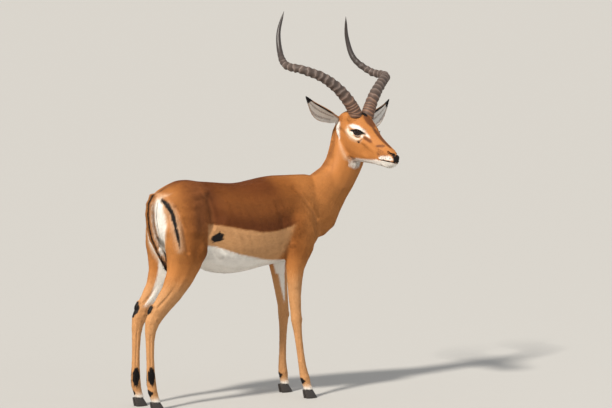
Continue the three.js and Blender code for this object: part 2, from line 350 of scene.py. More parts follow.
def skin_block():
    """All flesh as one closed mesh, with the eyes and the horns' sockets filled."""
    pieces = []
    for node in FLESH + EYE_NODES:
        piece = merged_copy(node, "part_" + node)
        grow = 0.0 if node in EYE_NODES else INFLATE
        place_points(piece.data, points_of(piece.data) + grow * normals_of(piece.data))
        pieces.append(piece)
    for side in (1, -1):
        deselect()
        centre = from_head([np.array(HORN_PLUG_AT) * [1, side, 1]])[0] * MM
        bpy.ops.mesh.primitive_uv_sphere_add(segments=24, ring_count=16, radius=HORN_PLUG_RADIUS * MM,
                                             location=centre)
        plug = bpy.context.active_object
        pick(plug)
        bpy.ops.object.transform_apply(location=True, rotation=True, scale=True)
        pieces.append(plug)
    pick(*pieces)
    bpy.ops.object.join()
    skin = bpy.context.active_object
    skin.name = "skin"
    apply_modifier(skin, "REMESH", mode="VOXEL", voxel_size=SKIN_GRAIN * MM, adaptivity=0.0)
    return skin


def smoothing(points):
    """How many smoothing steps each point takes, so that facets go and forms stay."""
    r = regions(points)
    b = to_body(points)
    h = to_head(points)
    steps = np.full(len(points), 230.0)
    on_legs = np.interp(b[:, 2], [250, 330, 430, 560], [16, 24, 70, 170])
    steps = np.where(b[:, 2] < 560, on_legs, steps)
    belly = (b[:, 2] > 470) & (b[:, 0] > -560) & (b[:, 0] < -130)
    steps = np.where(belly, np.maximum(steps, 200), steps)
    steps = steps * (1 - r["neck"]) + 170 * r["neck"]
    head = np.interp(h[:, 0], [-60, 60, 150, 230, 260], [70, 45, 40, 22, 16])
    steps = steps * (1 - r["head"]) + head * r["head"]
    steps = steps * (1 - r["ear"]) + 9 * r["ear"]
    steps = steps * (1 - r["tail"]) + 26 * r["tail"]
    breast = ease(40, 66, b[:, 0]) * (b[:, 2] > 600) * (b[:, 2] < 800)
    steps = steps * (1 - 0.6 * breast)
    return steps


def shaped_skin():
    skin = skin_block()
    steps = smoothing(points_of(skin.data))
    weight_group(skin, "smoothing", steps / SMOOTH_STEPS)
    apply_modifier(skin, "SMOOTH", factor=0.5, iterations=SMOOTH_STEPS, vertex_group="smoothing")
    skin.vertex_groups.clear()
    return skin


# ---- forms under the coat ----

BODY_FORMS = [   # body frame, left side: path, reach, height
    ([(-168, 30, 826), (-120, 62, 780), (-60, 84, 705)], 24, 2.4),       # blade's spine
    ([(-205, 60, 800), (-186, 90, 740), (-176, 100, 690)], 30, -3.0),    # behind the blade
    ([(-28, 70, 676)], 34, 4.0),                                         # point of the shoulder
    ([(-112, 100, 668)], 56, 4.0),                                       # triceps
    ([(-176, 98, 700), (-172, 98, 640), (-164, 92, 590)], 20, -4.0),     # behind the upper arm
    ([(-92, 60, 812), (-40, 78, 752), (0, 70, 690)], 20, -3.0),          # before the blade
    ([(-10, 56, 640), (-40, 84, 600)], 18, -2.6),                        # before the upper arm
    ([(-470, 96, 780), (-462, 112, 735)], 56, -6.0),                     # hollow of the flank
    ([(-498, 84, 828)], 30, 2.6),                                        # hip bone
    ([(-530, 92, 812), (-590, 86, 790)], 22, 1.6),
    ([(-664, 40, 792)], 24, 4.0),                                        # pin bone
    ([(-522, 108, 590)], 50, 5.0),                                       # stifle
    ([(-500, 112, 640), (-470, 108, 600), (-440, 96, 572)], 20, 1.3),    # fold of the flank
    ([(-480, 116, 690), (-505, 118, 640)], 18, -3.0),
    ([(-640, 92, 765), (-618, 112, 690), (-604, 118, 600)], 15, -2.6),   # between the hams
    ([(-492, 100, 806), (-484, 116, 745), (-484, 120, 690)], 24, -2.6),  # before the thigh
    ([(-575, 100, 760), (-572, 120, 680)], 40, 2.4),
    ([(-24, 26, 700), (-20, 20, 640)], 16, 1.6),                         # breast muscles
    ([(40, 0, 700), (10, 0, 620)], 10, -2.4),
]
FORE_FORMS = [   # a leg's own frame
    ([(-124, 100, 598)], 18, 5.0),                                       # elbow
    ([(-112, 104, 540), (-104, 104, 440)], 18, 1.8),                     # outer muscles
    ([(-84, 100, 520), (-82, 98, 420)], 8, -1.6),
    ([(-118, 84, 500), (-112, 84, 380)], 9, 1.2),
    ([(-66, 84, 306)], 19, 3.2),                                         # knee
    ([(-94, 84, 296)], 12, 2.4),
    ([(-66, 84, 262), (-60, 86, 250)], 10, -0.8),
    ([(-82, 96, 235), (-76, 99, 150)], 5.5, -2.4),                       # beside the tendons
    ([(-82, 74, 235), (-76, 78, 150)], 5.5, -2.4),
    ([(-92, 86, 240), (-82, 91, 120)], 7, 1.2),                          # tendons
    ([(-56, 108, 84)], 15, 1.6),                                         # fetlock
    ([(-56, 78, 84)], 15, 1.6),
    ([(-74, 93, 80)], 13, 2.0),
    ([(-54, 94, 60)], 11, -1.6),
]
HIND_FORMS = [
    ([(-642, 100, 480), (-688, 96, 425), (-722, 92, 392)], 10, -5.0),    # before the heel string
    ([(-642, 62, 480), (-688, 64, 425), (-722, 66, 392)], 10, -4.5),
    ([(-668, 82, 478), (-716, 80, 430), (-762, 78, 386)], 9, 2.6),       # heel string
    ([(-618, 112, 500), (-640, 106, 455)], 16, 1.6),
    ([(-594, 100, 520), (-634, 96, 450)], 8, -1.6),
    ([(-746, 78, 400), (-758, 78, 382)], 19, 10.0),                      # point of the hock
    ([(-728, 98, 350)], 12, 2.2),
    ([(-728, 60, 350)], 12, 2.2),
    ([(-752, 92, 330)], 9, -1.4),
    ([(-752, 88, 290), (-750, 86, 150)], 6, -2.4),
    ([(-752, 64, 290), (-750, 64, 150)], 6, -2.4),
    ([(-764, 77, 300), (-760, 75, 130)], 7, 1.2),
    ([(-740, 91, 84)], 15, 1.8),
    ([(-740, 59, 84)], 15, 1.8),
    ([(-762, 75, 82)], 13, 2.2),
    ([(-738, 75, 58)], 11, -1.6),
]
HORN_FOOT = [(6, 60, -18), (-24, 46, -10), (-22, 18, 0), (8, 10, 8), (30, 24, -4), (26, 50, -20)]
HEAD_FORMS = [   # head frame, left side
    ([(40, 48, -112)], 46, 3.0),                                         # jaw muscle
    ([(118, 36, -112)], 26, -3.2),                                       # before it
    ([(104, 40, -82), (58, 52, -86), (20, 54, -80), (-22, 52, -72)], 13, 2.6),
    ([(104, 38, -84), (150, 31, -92)], 13, 1.6),
    ([(-6, 48, -44), (-30, 46, -46)], 17, -3.0),                         # temple
    ([(20, 36, -22), (60, 38, -34), (92, 33, -46)], 11, 1.8),            # brow
    ([(60, 0, -8), (110, 0, -34)], 16, -1.4),
    ([(84, 14, -24), (150, 12, -48), (215, 10, -60)], 9, 1.2),           # edge of the nose bone
    ([(120, 24, -56), (190, 20, -68)], 11, -1.6),
    ([(-14, 34, -152), (60, 32, -174), (130, 24, -156), (190, 16, -138)], 11, 2.0),  # jaw bone
    ([(60, 0, -180), (120, 0, -162), (180, 0, -144)], 12, -4.0),
    ([(-50, 44, -96), (-34, 46, -130), (-16, 38, -160)], 13, -4.0),      # behind the jaw
    ([(222, 22, -98), (190, 27, -104)], 12, 1.2),                        # lip
    ([(232, 8, -124), (214, 14, -124)], 12, 2.0),                        # chin
    ([(80, 43, -89)], 7, -1.6),
    ([(-30, 46, -64), (-42, 50, -88), (-34, 48, -104)], 20, 4.5),        # foot of the ear
    ([(-20, 0, 6), (-40, 20, 0)], 32, -3.0),                             # poll
    ([(246, 9, -74), (238, 19, -84)], 10, 1.6),                          # wing of the nostril
    (HORN_FOOT, 9, 1.6),
]
BODY_RELIEF = 1.9
HEAD_RELIEF = 1.25
NOSTRIL = [(240, 7, -70), (233, 14, -69), (222, 19.5, -71), (211, 20, -67)]
MOUTH = [
    (256, 0, -96), (251, 11, -95), (237, 21, -99), (222, 25, -103), (206, 27, -108), (194, 28, -113),
]
PHILTRUM = [(256, 0, -76), (258, 0, -94)]


def forms(points, table, mirror=True):
    """Heights along the normals that a table of forms adds."""
    if mirror:
        points = points.copy()
        points[:, 1] = np.abs(points[:, 1])
    total = np.zeros(len(points))
    for path, reach, height in table:
        total += height * closeness(points, path, reach)
    return total


RIB_SPACING = 34.0
RIB_HEIGHT = 0.25


def ribs(b):
    """Faint ribs over the side of the trunk."""
    slanted = b[:, 0] + 0.35 * (b[:, 2] - 660)
    inside = ease(-455, -400, b[:, 0]) * ease(-175, -215, b[:, 0])
    inside *= ease(545, 590, b[:, 2]) * ease(815, 770, b[:, 2])
    return RIB_HEIGHT * inside * np.cos(2 * math.pi * slanted / RIB_SPACING)


def around_neck(b):
    """Share along the neck and the way round it: 0 at the nape, 180 degrees at the throat."""
    path = np.array(NECK_LINE, float)
    share = along(b, path)[1]
    lengths = run_of(path)
    centre = read_along(share, lengths, path)
    ahead = unit(read_along(share, lengths, np.gradient(path, lengths, axis=0)))
    turn = np.radians(np.interp(share, [0, 0.4, 0.6, 0.8, 1], [0, 0, -8, -32, -72]))
    side = np.stack([-np.sin(turn), np.cos(turn), np.zeros(len(b))], 1)
    front = np.cross(side, ahead)
    d = b - centre
    return share, np.degrees(np.arctan2((d * side).sum(1), -(d * front).sum(1)))


def neck_forms(b):
    share, turn = around_neck(b)
    turn = np.abs(turn)
    middle = ease(0.12, 0.3, share) * ease(0.98, 0.8, share)
    groove = -3.4 * bell((turn - 133) / 22) * middle
    windpipe = 2.0 * bell((turn - 180) / 34) * middle
    muscle = 2.4 * bell((turn - 100) / 34) * middle
    nape = 2.0 * bell(turn / 26) * middle
    return groove + windpipe + muscle + nape


def round_eye(left):
    """Degrees round the eyeball from its middle, and degrees outside the lids' opening."""
    out, ahead, up = EYE_AXES
    d = left - EYE_AT
    away = np.linalg.norm(d, axis=1)
    flat = np.degrees(np.arctan2(d @ ahead, d @ out))
    rise = np.degrees(np.arcsin(np.clip((d @ up) / away, -1, 1)))
    reach = np.clip(1 - (flat / LID_HALF_LENGTH) ** 2, 0.0, 1) ** 0.75
    upper, lower = LID_RISE * reach + 1.5, LID_DROP * reach + 1.5
    share = np.where(rise > 0, rise / upper, -rise / lower)
    past = np.abs(flat) - LID_HALF_LENGTH
    off = np.where(share > 1, np.where(rise > 0, rise - upper, -rise - lower), 0)
    off = np.where(past > 0, np.hypot(past, off), off)
    inner = (share <= 1) & (past <= 0)
    depth = np.minimum(1 - share, -past / 12.0)
    return away, rise, off, inner, depth


def eyelids(h):
    """New places for the points round an eye: the opening shows the eyeball, and the lids stand
    just off it."""
    h = h.copy()
    sides = np.sign(h[:, 1])
    left = h.copy()
    left[:, 1] *= sides
    some = (np.linalg.norm(left - EYE_AT, axis=1) < 40) & (left[:, 1] > 20)
    away, rise, off, inner, depth = round_eye(left[some])
    lid = EYE_RADIUS + LID_THICKNESS
    lift = lid + 1.3 * bell((off - 8) / 9) - 1.4 * bell((off - 21) / 6) * (rise > 0)
    blend = ease(46, 20, off)
    outside = np.maximum(away, lid) * (1 - blend) + np.maximum(lift, 0.25 * away + 0.75 * lid) * blend
    new = np.where(inner, lid - (lid - EYE_UNDER) * ease(0.0, 0.16, depth), outside)
    left[some] = EYE_AT + (left[some] - EYE_AT) * (new / away)[:, None]
    left[:, 1] *= sides
    return left


EYE_OUT = unit(np.array([0.34, 0.93, 0.10]))
EYE_AHEAD = unit(np.cross(np.cross(EYE_OUT, np.array([0.96, 0.0, 0.27])), EYE_OUT))
EYE_AXES = (EYE_OUT, EYE_AHEAD, unit(np.cross(EYE_AHEAD, EYE_OUT)))
LID_HALF_LENGTH = 66.0     # degrees round the eyeball
LID_RISE = 23.0
LID_DROP = 21.0
LID_THICKNESS = 1.7
EYE_UNDER = 14.0           # how near the eye's middle the hidden skin lies


def dents(h):
    """Nostrils, mouth and lip groove, pushed in along the normals."""
    left = h.copy()
    left[:, 1] = np.abs(left[:, 1])
    total = np.zeros(len(h))
    some = near(left, MOUTH + NOSTRIL + PHILTRUM, 14)
    p = left[some]
    away, share = along(p, NOSTRIL)
    deep = -8.0 * bell(away / (5.6 - 1.6 * share))
    away, share = along(p, MOUTH)
    deep += -4.2 * bell(away / 3.4) + 0.9 * bell((away - 5) / 4)
    deep += -1.4 * bell(along(p, PHILTRUM)[0] / 3.0)
    total[some] = deep
    return total


def finer_face(skin):
    """Halves the grain of the skin round the eyes, the nose and the mouth."""
    mesh = skin.data
    h = to_head(points_of(mesh))
    left = h.copy()
    left[:, 1] = np.abs(left[:, 1])
    wanted = (np.linalg.norm(left - EYE_AT, axis=1) < 31) & (left[:, 1] > 22)
    wanted |= near(left, MOUTH + NOSTRIL + PHILTRUM, 13)
    pick(skin)
    bpy.ops.object.mode_set(mode="EDIT")
    bpy.ops.mesh.select_mode(type="VERT")
    bpy.ops.mesh.select_all(action="DESELECT")
    bpy.ops.object.mode_set(mode="OBJECT")
    mesh.vertices.foreach_set("select", wanted)
    bpy.ops.object.mode_set(mode="EDIT")
    bpy.ops.mesh.select_mode(type="FACE")
    bpy.ops.mesh.subdivide(number_cuts=1, smoothness=0.0)
    bpy.ops.object.mode_set(mode="OBJECT")


def coat_depth(points, r):
    """How far the skin lies inside the solids."""
    deep = np.full(len(points), 2.2)
    deep = deep * (1 - r["leg"]) + 0.6 * r["leg"]
    deep = deep * (1 - r["head"]) + 0.5 * r["head"]
    deep = deep * (1 - r["ear"]) + 0.3 * r["ear"]
    return deep * (1 - r["tail"]) + 0.6 * r["tail"]


TAIL_FULLER = 0.2
TAIL_ASIDE = -4.0          # the tail hangs to the right


def sculpt(skin):
    """Raises the forms under the coat, and cuts the nostrils, the mouth and the lids."""
    mesh = skin.data
    points = points_of(mesh)
    r = regions(points)
    bare = (1 - r["ear"]) * (1 - r["tail"])
    b = to_body(points)
    grown = BODY_RELIEF * forms(b, BODY_FORMS) * (1 - r["neck"]) + ribs(b) + neck_forms(b) * r["neck"]
    grown *= (1 - r["head"])
    low = b[:, 2] < LEG_TOP
    for name in LEGS:
        mine = on_leg(b[low], name)
        table = FORE_FORMS if name.startswith("fore") else HIND_FORMS
        same_side = ease(0, 20, mine[:, 1])
        grown[low] += forms(mine, table, mirror=False) * same_side
    h = to_head(points)
    grown += HEAD_RELIEF * forms(h, HEAD_FORMS) * r["head"]
    grown = grown * bare - coat_depth(points, r)
    points = points + grown[:, None] * normals_of(mesh)
    tail = np.array(TAIL_LINE, float)[::-1]
    middle = np.interp(b[:, 2], tail[:, 2], tail[:, 1])
    fuller = (b[:, 1] - middle) * TAIL_FULLER + TAIL_ASIDE
    points[:, 1] += fuller * r["tail"] * ease(812, 770, b[:, 2])
    place_points(mesh, points)
    finer_face(skin)
    points = points_of(mesh)
    h = to_head(points)
    at_head = (np.abs(h) < 280).all(1)
    at_head &= regions(points)["head"] > 0.5
    moved = h[at_head] + (dents(h[at_head])[:, None] * normals_of(mesh)[at_head]) @ HEAD_AXES
    moved = eyelids(moved)
    points[at_head] = from_head(moved)
    place_points(mesh, points)


def finished_skin():
    skin = shaped_skin()
    sculpt(skin)
    apply_modifier(skin, "TRIANGULATE")
    share = SKIN_FACES / len(skin.data.polygons)
    apply_modifier(skin, "DECIMATE", decimate_type="COLLAPSE", ratio=share)
    skin.data.shade_smooth()
    return skin


# ---- markings ----

BELLY_EDGE = [
    (-600, 600), (-526, 616), (-474, 612), (-434, 599), (-373, 577), (-303, 561), (-217, 543),
    (-150, 538), (-60, 548),
]
SADDLE_EDGE = [
    (-520, 700), (-453, 692), (-400, 682), (-358, 672), (-314, 666), (-283, 658), (-220, 657),
    (-170, 664), (-125, 677), (-60, 700),
]
RUMP_STRIPE = [(-674, 46, 796), (-665, 66, 780), (-652, 86, 745), (-649, 104, 696), (-641, 118, 635),
               (-638, 121, 606)]
STRIPE_HALO = ([560, 610, 700, 780, 800], [-8, 4, 7, 5, 0])     # pale hair beside the stripe, by height
RUMP_WHITE = [   # height and how far out the white reaches
    (510, 22), (540, 40), (588, 52), (640, 64), (696, 72), (743, 64), (780, 50), (798, 40),
]
CROUP_LINE = [(-585, 0, 856), (-612, 0, 846), (-645, 0, 828), (-676, 0, 812)]
FLANK_SPOT = [(-486, 112, 636), (-468, 112, 642), (-446, 114, 652)]
CANNON_GLANDS = [   # a leg's own frame: path and half widths along it
    ([(-748, 92, 162), (-752, 93, 138), (-748, 92, 112)], 24, 24),
    ([(-748, 58, 162), (-752, 57, 138), (-748, 58, 112)], 24, 24),
]
CANNON_MIDDLE = (75, 3.5)     # how far out the leg's middle is, half the bare strip there
HOCK_BLACK = ([(-746, 78, 414), (-760, 78, 390), (-766, 78, 366)], 20, 17)
PASTERN_BLACK = ([(-748, 62, 70), (-756, 75, 68), (-748, 88, 70)], 15, 15)
FETLOCK_BLACK = ([(-66, 82, 70), (-72, 94, 68), (-64, 106, 68)], 14, 14)
LEG_BLACK = {"hind": [HOCK_BLACK, PASTERN_BLACK] + CANNON_GLANDS, "fore": [FETLOCK_BLACK]}
LEG_BLACK_DROP = {"hindleg_left": 20.0}
FOOT_WHITE = ([28, 42, 56, 72], [9, 2, -5, -20])          # by height
FOOT_WHITE_TOP = 90
FORE_INNER_WHITE = ([370, 430, 520, 600], [3, 10, 17, 24])
FORE_INNER_REACH = (365, 560)
HIND_INNER_WHITE = ([380, 430, 500, 560], [15, 14, 12, 10])
HIND_INNER_REACH = (385, 650)
TAIL_BLACK_MIDDLE = ([560, 640, 730, 780], [-4, -10, -11, -9])
TAIL_BLACK_HALF = ([540, 600, 640, 800], [9, 7, 5, 5])
TAIL_FRINGE = 22.0            # half the width of the tail between its white edges
BRIGHT_LEG = 0.8
BRIGHT_FACE = 0.8
BRIGHT_EAR = 0.45
BRIGHT_TAIL = 0.7
EYE_ARC = [(14, 52, -50), (29, 51, -46), (55, 50, -40), (80, 46, -44), (96, 38, -51), (113, 32, -56)]
EYE_RING = [(6, 52, -60), (14, 52, -74), (36, 52, -84), (62, 48, -84), (80, 43, -76)]
EYE_BACK_CORNER = [(44, 57, -60), (32, 54, -63), (20, 52, -66)]
EYE_FRONT_CORNER = [(72, 52, -53), (84, 46, -51), (95, 40, -51)]
NOSE_LINE = [(84, 0, -24), (112, 4, -36), (150, 4, -48), (205, 2, -58)]
NOSE_BLACK = [(229, 16, -70), (240, 10, -72), (250, 6, -79), (256, 3, -96)]
CHIN_WHITE = [(250, 8, -106), (228, 20, -114), (203, 23, -118)]
LIP_WHITE = [(246, 14, -86), (229, 24, -88), (212, 27, -96), (190, 28, -105)]
JAW_WHITE = [(196, 26, -116), (151, 22, -138), (107, 20, -156), (64, 18, -170)]
GLAND_LINE = [(77, 44, -91), (88, 43, -73)]
EAR_STREAK = [(-52, 44, -74), (-42, 48, -88), (-30, 48, -104), (-22, 47, -122)]
CHEEK_LINE = [(-28, 48, -112), (-18, 48, -128), (8, 48, -150), (34, 42, -172), (48, 28, -188)]
JAW_EDGE = ([-20, 40, 100, 150, 195, 215, 240], [-172, -174, -160, -140, -114, -104, -98])
FACE_WHITE = [   # path, half width at its start and at its end
    (EYE_ARC, 9.5, 3.5), (EYE_RING, 2.6, 1.5), (LIP_WHITE, 8.0, 8.0), (CHIN_WHITE, 8.0, 6.0),
    (JAW_WHITE, 6.0, 8.0), (EAR_STREAK, 15.0, 4.0),
]
FACE_WHITE_SPOTS = [((-46, 60, -76), (17, 22, 16))]       # centre and half sizes
FACE_BLACK = [
    (EYE_BACK_CORNER, 7.0, 3.0), (EYE_FRONT_CORNER, 6.5, 2.5), (NOSTRIL, 4.6, 3.6),
    (NOSE_BLACK, 4.2, 5.5),
]
FACE_BLACK_SPOTS = [
    ((253, 0, -75), (12, 12, 16)),        # nose
    ((18, 0, 2), (17, 12, 12)),           # between the horns
    ((77, 44, -91), (5, 9, 4)),           # gland before the eye
]
FACE_DARK = [
    ([(88, 43, -64), (106, 38, -65), (130, 33, -67)], 7, 6), ([(155, 29, -71), (184, 16, -58)], 6, 5),
    (GLAND_LINE, 4.0, 3.0),
]
FACE_DARK_SPOTS = [((180, 29, -94), (5.5, 9, 5)), ((56, 0, -10), (52, 22, 20))]
FACE_CREAM = [(EYE_RING, 13.0, 10.0)]
THROAT_WHITE = ((68, 0, -192), (17, 28, 18))
NEAR_EAR_WHITE = ((-76, 48, -68), (19, 17, 15))           # right side only
WHISKER_ROWS = (5, 6, 5, 4)
WHISKER_AT = (172, 28, -78)
WHISKER_STEP = 12
WHISKER_DROP = 7.5
WHISKER_SIZE = (3.2, 12, 2.8)


def stroke(points, path, start, end=None, fade=0.12):
    """How far inside a painted stroke a point is: half width less the distance to its path."""
    away, share = along(points, path)
    end = start if end is None else end
    half = start + (end - start) * share
    half = half * (0.45 + 0.55 * np.minimum(ease(0, fade, share + 1e-6), ease(1, 1 - fade, share)))
    return half - away


ON_THE_SIDE = np.array([1, 0.35, 1])


def side_stroke(points, path, start, end=None):
    """A stroke on the side of the head, whatever the depth of the surface there."""
    return stroke(points * ON_THE_SIDE, np.array(path) * ON_THE_SIDE, start, end)


def spot(points, centre, sizes):
    """How far inside an egg shape a point is."""
    sizes = np.array(sizes, float)
    return (1 - np.linalg.norm((points - centre) / sizes, axis=1)) * sizes.min()


def deepest(points, strokes, spots=()):
    """How far inside any of some strokes on the side of the head, or of some spots, a point is."""
    inside = [side_stroke(points, path, start, end) for path, start, end in strokes]
    inside += [spot(points, centre, sizes) for centre, sizes in spots]
    return np.maximum.reduce(inside)


def whiskers(points):
    """Rows of dark points over the upper lip."""
    x, y, z = WHISKER_AT
    inside = []
    for row, count in enumerate(WHISKER_ROWS):
        for k in range(count):
            centre = (x + WHISKER_STEP * k + 5 * (row % 2), y, z - WHISKER_DROP * row)
            inside.append(spot(points, centre, WHISKER_SIZE))
    return np.maximum.reduce(inside)


MARK_LIMIT = 30.0             # millimetres past which a marking's depth no longer counts


def take_over(marks, weight, own):
    """Gives the points of a region its own markings, with the change of region kept smooth."""
    for name, value in own.items():
        before = np.clip(marks[name], -MARK_LIMIT, MARK_LIMIT)
        marks[name] = before * (1 - weight) + np.clip(value, -MARK_LIMIT, MARK_LIMIT) * weight


def take_over_part(marks, mine, weight, own):
    """The same for the chosen points alone."""
    part = {name: marks[name][mine] for name in own}
    take_over(part, weight[mine], own)
    for name in own:
        marks[name][mine] = part[name]


def head_marks(h, r, marks):
    """Paints the head's markings, the same on both sides."""
    p = h.copy()
    p[:, 1] = np.abs(p[:, 1])
    x, y, z = p.T
    _, rise, off, _, _ = round_eye(p)
    off = np.where((np.linalg.norm(p - EYE_AT, axis=1) < 32) & (y > 25), off, 90)
    below = np.where(rise < 0, 10 - 0.42 * np.abs(off - 30), -30)
    under = np.interp(x, *JAW_EDGE) - z
    under = np.minimum.reduce([under, (x - 50) * 0.6, z + 204, np.maximum(z + 168, 26 - y)])
    white = np.maximum.reduce([deepest(p, FACE_WHITE, FACE_WHITE_SPOTS), under, below - 7])
    lid_edge = (13 - off) * 0.35
    mouth = stroke(p, MOUTH, 4.4, 2.6)
    black = np.maximum.reduce([deepest(p, FACE_BLACK, FACE_BLACK_SPOTS), lid_edge, mouth])
    beside_gland = side_stroke(p, GLAND_LINE, 9, 7) - 4
    cream = np.maximum.reduce([deepest(p, FACE_CREAM), beside_gland, below + 2])
    nose_line = stroke(p, NOSE_LINE, 8.5, 6.0)
    dark = np.maximum.reduce([deepest(p, FACE_DARK, FACE_DARK_SPOTS), nose_line, whiskers(p)])
    take_over(marks, r["head"], {"white": white, "black": black, "cream": cream, "dark": dark})
    near_ear = np.where(h[:, 1] < 0, spot(p, *NEAR_EAR_WHITE), -MARK_LIMIT)
    marks["white"] = np.maximum.reduce([marks["white"], spot(p, *THROAT_WHITE), near_ear])
    marks["cream"] = np.maximum(marks["cream"], side_stroke(p, CHEEK_LINE, 9.0, 12.0) - 9)
    marks["warm"] = marks["warm"] * (1 - r["head"]) + BRIGHT_FACE * r["head"]


EAR_BLACK_TIP = 0.83          # share of the ear's length
EAR_BLACK_RIM = 0.60          # share of its half width
EAR_STREAKS_LIMIT = 0.8       # keeps the streaks faint


def ear_marks(h, normals, r, marks):
    """White hollow with dark streaks, black tip and black upper rim."""
    for side in (1, -1):
        mine = (r["ear"] > 0.02) & (side * h[:, 1] > 0)
        share, u, v, across, hollow, _ = ear_place(h[mine], side)
        n = normals[mine] @ HEAD_AXES
        radial = unit(u[:, None] * across + v[:, None] * hollow)
        inside = np.clip(-(n * radial).sum(1), -1, 1)
        upper = -side * u
        root = 10 * (v + 0.3 - 0.9 * upper) * ease(0.34, 0.2, share) - 8 * ease(0.2, 0.34, share)
        white = np.maximum(10 * inside, root)
        streaks = np.sin(u * 9.0 + 2.5 * share) * 5.0 - 3.6
        dark = np.minimum.reduce([streaks, (share - 0.12) * 60, (0.80 - share) * 60, 10 * inside - 3])
        tip = (share - EAR_BLACK_TIP) * 150.0
        rim = np.minimum.reduce([(upper - EAR_BLACK_RIM) * 26.0, (share - 0.26) * 60.0, 8 * inside + 3])
        take_over_part(marks, mine, r["ear"], {
            "white": white, "cream": white + 4, "black": np.maximum(tip, rim),
            "dark": np.minimum(dark, EAR_STREAKS_LIMIT),
        })
        marks["warm"][mine] = BRIGHT_EAR


def leg_marks(b, marks):
    """Black patches, white feet, and the pale inner sides."""
    for name in LEGS:
        kind = "fore" if name.startswith("fore") else "hind"
        mine = of_leg(b, name, LEG_MARKS_TOP)
        p = on_leg(b[mine], name)
        x, out, z = p.T
        black = marks["black"][mine]
        for patch in LEG_BLACK[kind]:
            path, start, end = patch
            inside = stroke(p + [0, 0, LEG_BLACK_DROP.get(name, 0.0)], path, start, end, fade=0.3)
            if patch in CANNON_GLANDS:
                inside = np.minimum(inside, np.abs(out - CANNON_MIDDLE[0]) - CANNON_MIDDLE[1])
            black = np.maximum(black, inside)
        marks["black"][mine] = black
        line = np.array(LEGS[name][0], float)[::-1]
        centre = np.interp(z, line[:, 2], line[:, 0])
        inner = np.interp(z, line[:, 2], line[:, 1]) - out
        if kind == "hind":
            low, high = HIND_INNER_REACH
            behind = (centre - 8 - x).clip(0)
            within = inner - np.interp(z, *HIND_INNER_WHITE) - 0.5 * behind
            white = np.minimum.reduce([within, high - z, (z - low) * 0.3, -500 - b[mine, 0]])
        else:
            low, high = FORE_INNER_REACH
            within = np.interp(z, *FORE_INNER_WHITE) - np.abs(x - centre + 4)
            white = np.minimum.reduce([within, inner - 7, high - z, (z - low) * 0.3])
        foot = np.interp(z, *FOOT_WHITE) + 0.06 * (x - centre).clip(-20, 20)
        foot = np.minimum(foot, FOOT_WHITE_TOP - z)
        marks["white"][mine] = np.maximum.reduce([marks["white"][mine], white, foot])
        marks["cream"][mine] = np.maximum(marks["cream"][mine], foot + 6)
        marks["tan"][mine] = np.maximum(marks["tan"][mine], 3 - 10 * ease(420, 560, z))
        shank = ease(330, 240, z) * ease(60, 110, z)
        bright = (BRIGHT_LEG - 0.2 * shank) * ease(640, 470, z)
        marks["warm"][mine] = np.maximum(marks["warm"][mine], bright)


def tail_marks(b, normals, r, marks):
    """A black line down the back of the tail and white edges."""
    mine = r["tail"] > 0.02
    path = np.array(TAIL_LINE, float)[::-1]
    low = b[mine, 2]
    off = b[mine, 1] - np.interp(low, path[:, 2], path[:, 1])
    behind = -normals[mine, 0]
    line = np.interp(low, *TAIL_BLACK_HALF) - np.abs(off - np.interp(low, *TAIL_BLACK_MIDDLE))
    line = np.minimum(line, 8 * behind + 6)
    edge = np.maximum(np.abs(off - TAIL_ASIDE) - TAIL_FRINGE, -12 * behind - 6)
    edge = np.minimum(edge, (790 - low) * 0.5)
    take_over_part(marks, mine, r["tail"], {"black": line, "white": edge, "cream": edge + 4})
    marks["warm"][mine] = BRIGHT_TAIL


BELLY_FOOT = 468              # height where the belly's white stops on the legs
BELLY_BACK = -575
BELLY_SIDE = ([-560, -500, -470], [76, 108, 140])         # how far out it reaches
BEHIND_ELBOW = -152
BREAST_FRONT = -60            # white between the forelegs
BREAST_HALF = 66
RUMP_WHITE_FRONT = -628
RUMP_WHITE_TOP = 800
RUMP_WHITE_FOOT = 512
CREAM_ROUND_RUMP = 9          # width of the pale band round the white


def trunk_white(x, out, z):
    """The belly's and the rump's white."""
    least = np.minimum.reduce
    breast = least([BREAST_FRONT - x, BREAST_HALF - out])
    belly = least([
        np.interp(x, *zip(*BELLY_EDGE)) - z, np.maximum(BEHIND_ELBOW - x, breast), z - BELLY_FOOT,
        x - BELLY_BACK, np.interp(x, *BELLY_SIDE) - out,
    ])
    rump = least([
        np.interp(z, *zip(*RUMP_WHITE)) - out, (RUMP_WHITE_TOP - z) * 0.8,
        RUMP_WHITE_FRONT - x + 0.25 * (700 - z).clip(0), (z - RUMP_WHITE_FOOT) * 0.5,
    ])
    return belly, rump


SADDLE_FRONT = -118           # each slants with the height
SADDLE_BACK = -487
FLANK_FRONT = -146
FLANK_BACK = -505
FLANK_FOOT = 470


def saddle_and_flank(b, out, neck, marks):
    """The dark saddle, which fades at both ends and is lessened over the ribs by a painted highlight, and
    the tan flank under it.
    """
    x, _, z = b.T
    edge = np.interp(x, *zip(*SADDLE_EDGE))
    front = (SADDLE_FRONT - x) - 0.42 * (z - 690)
    haunch = (x - SADDLE_BACK) + 0.12 * (z - 700)
    ends = np.minimum(ease(-40, 45, front), ease(-24, 32, haunch)) * (1 - neck)
    marks["saddle"] = np.minimum(z - edge, 60)
    # The saddle's share fades at both ends. The band above its lower edge, over the ribs, where it is
    # lessened is a painted highlight.
    marks["saddle_ends_and_highlight"] = ends * (1 - 0.5 * bell((z - edge - 92) / 80) * ease(0, 90, haunch))
    marks["tan"] = np.minimum.reduce([
        edge - z, 0.4 * (FLANK_FRONT - x + 0.3 * (z - 600)), x - FLANK_BACK - 0.2 * (out - 110),
        z - FLANK_FOOT,
    ])


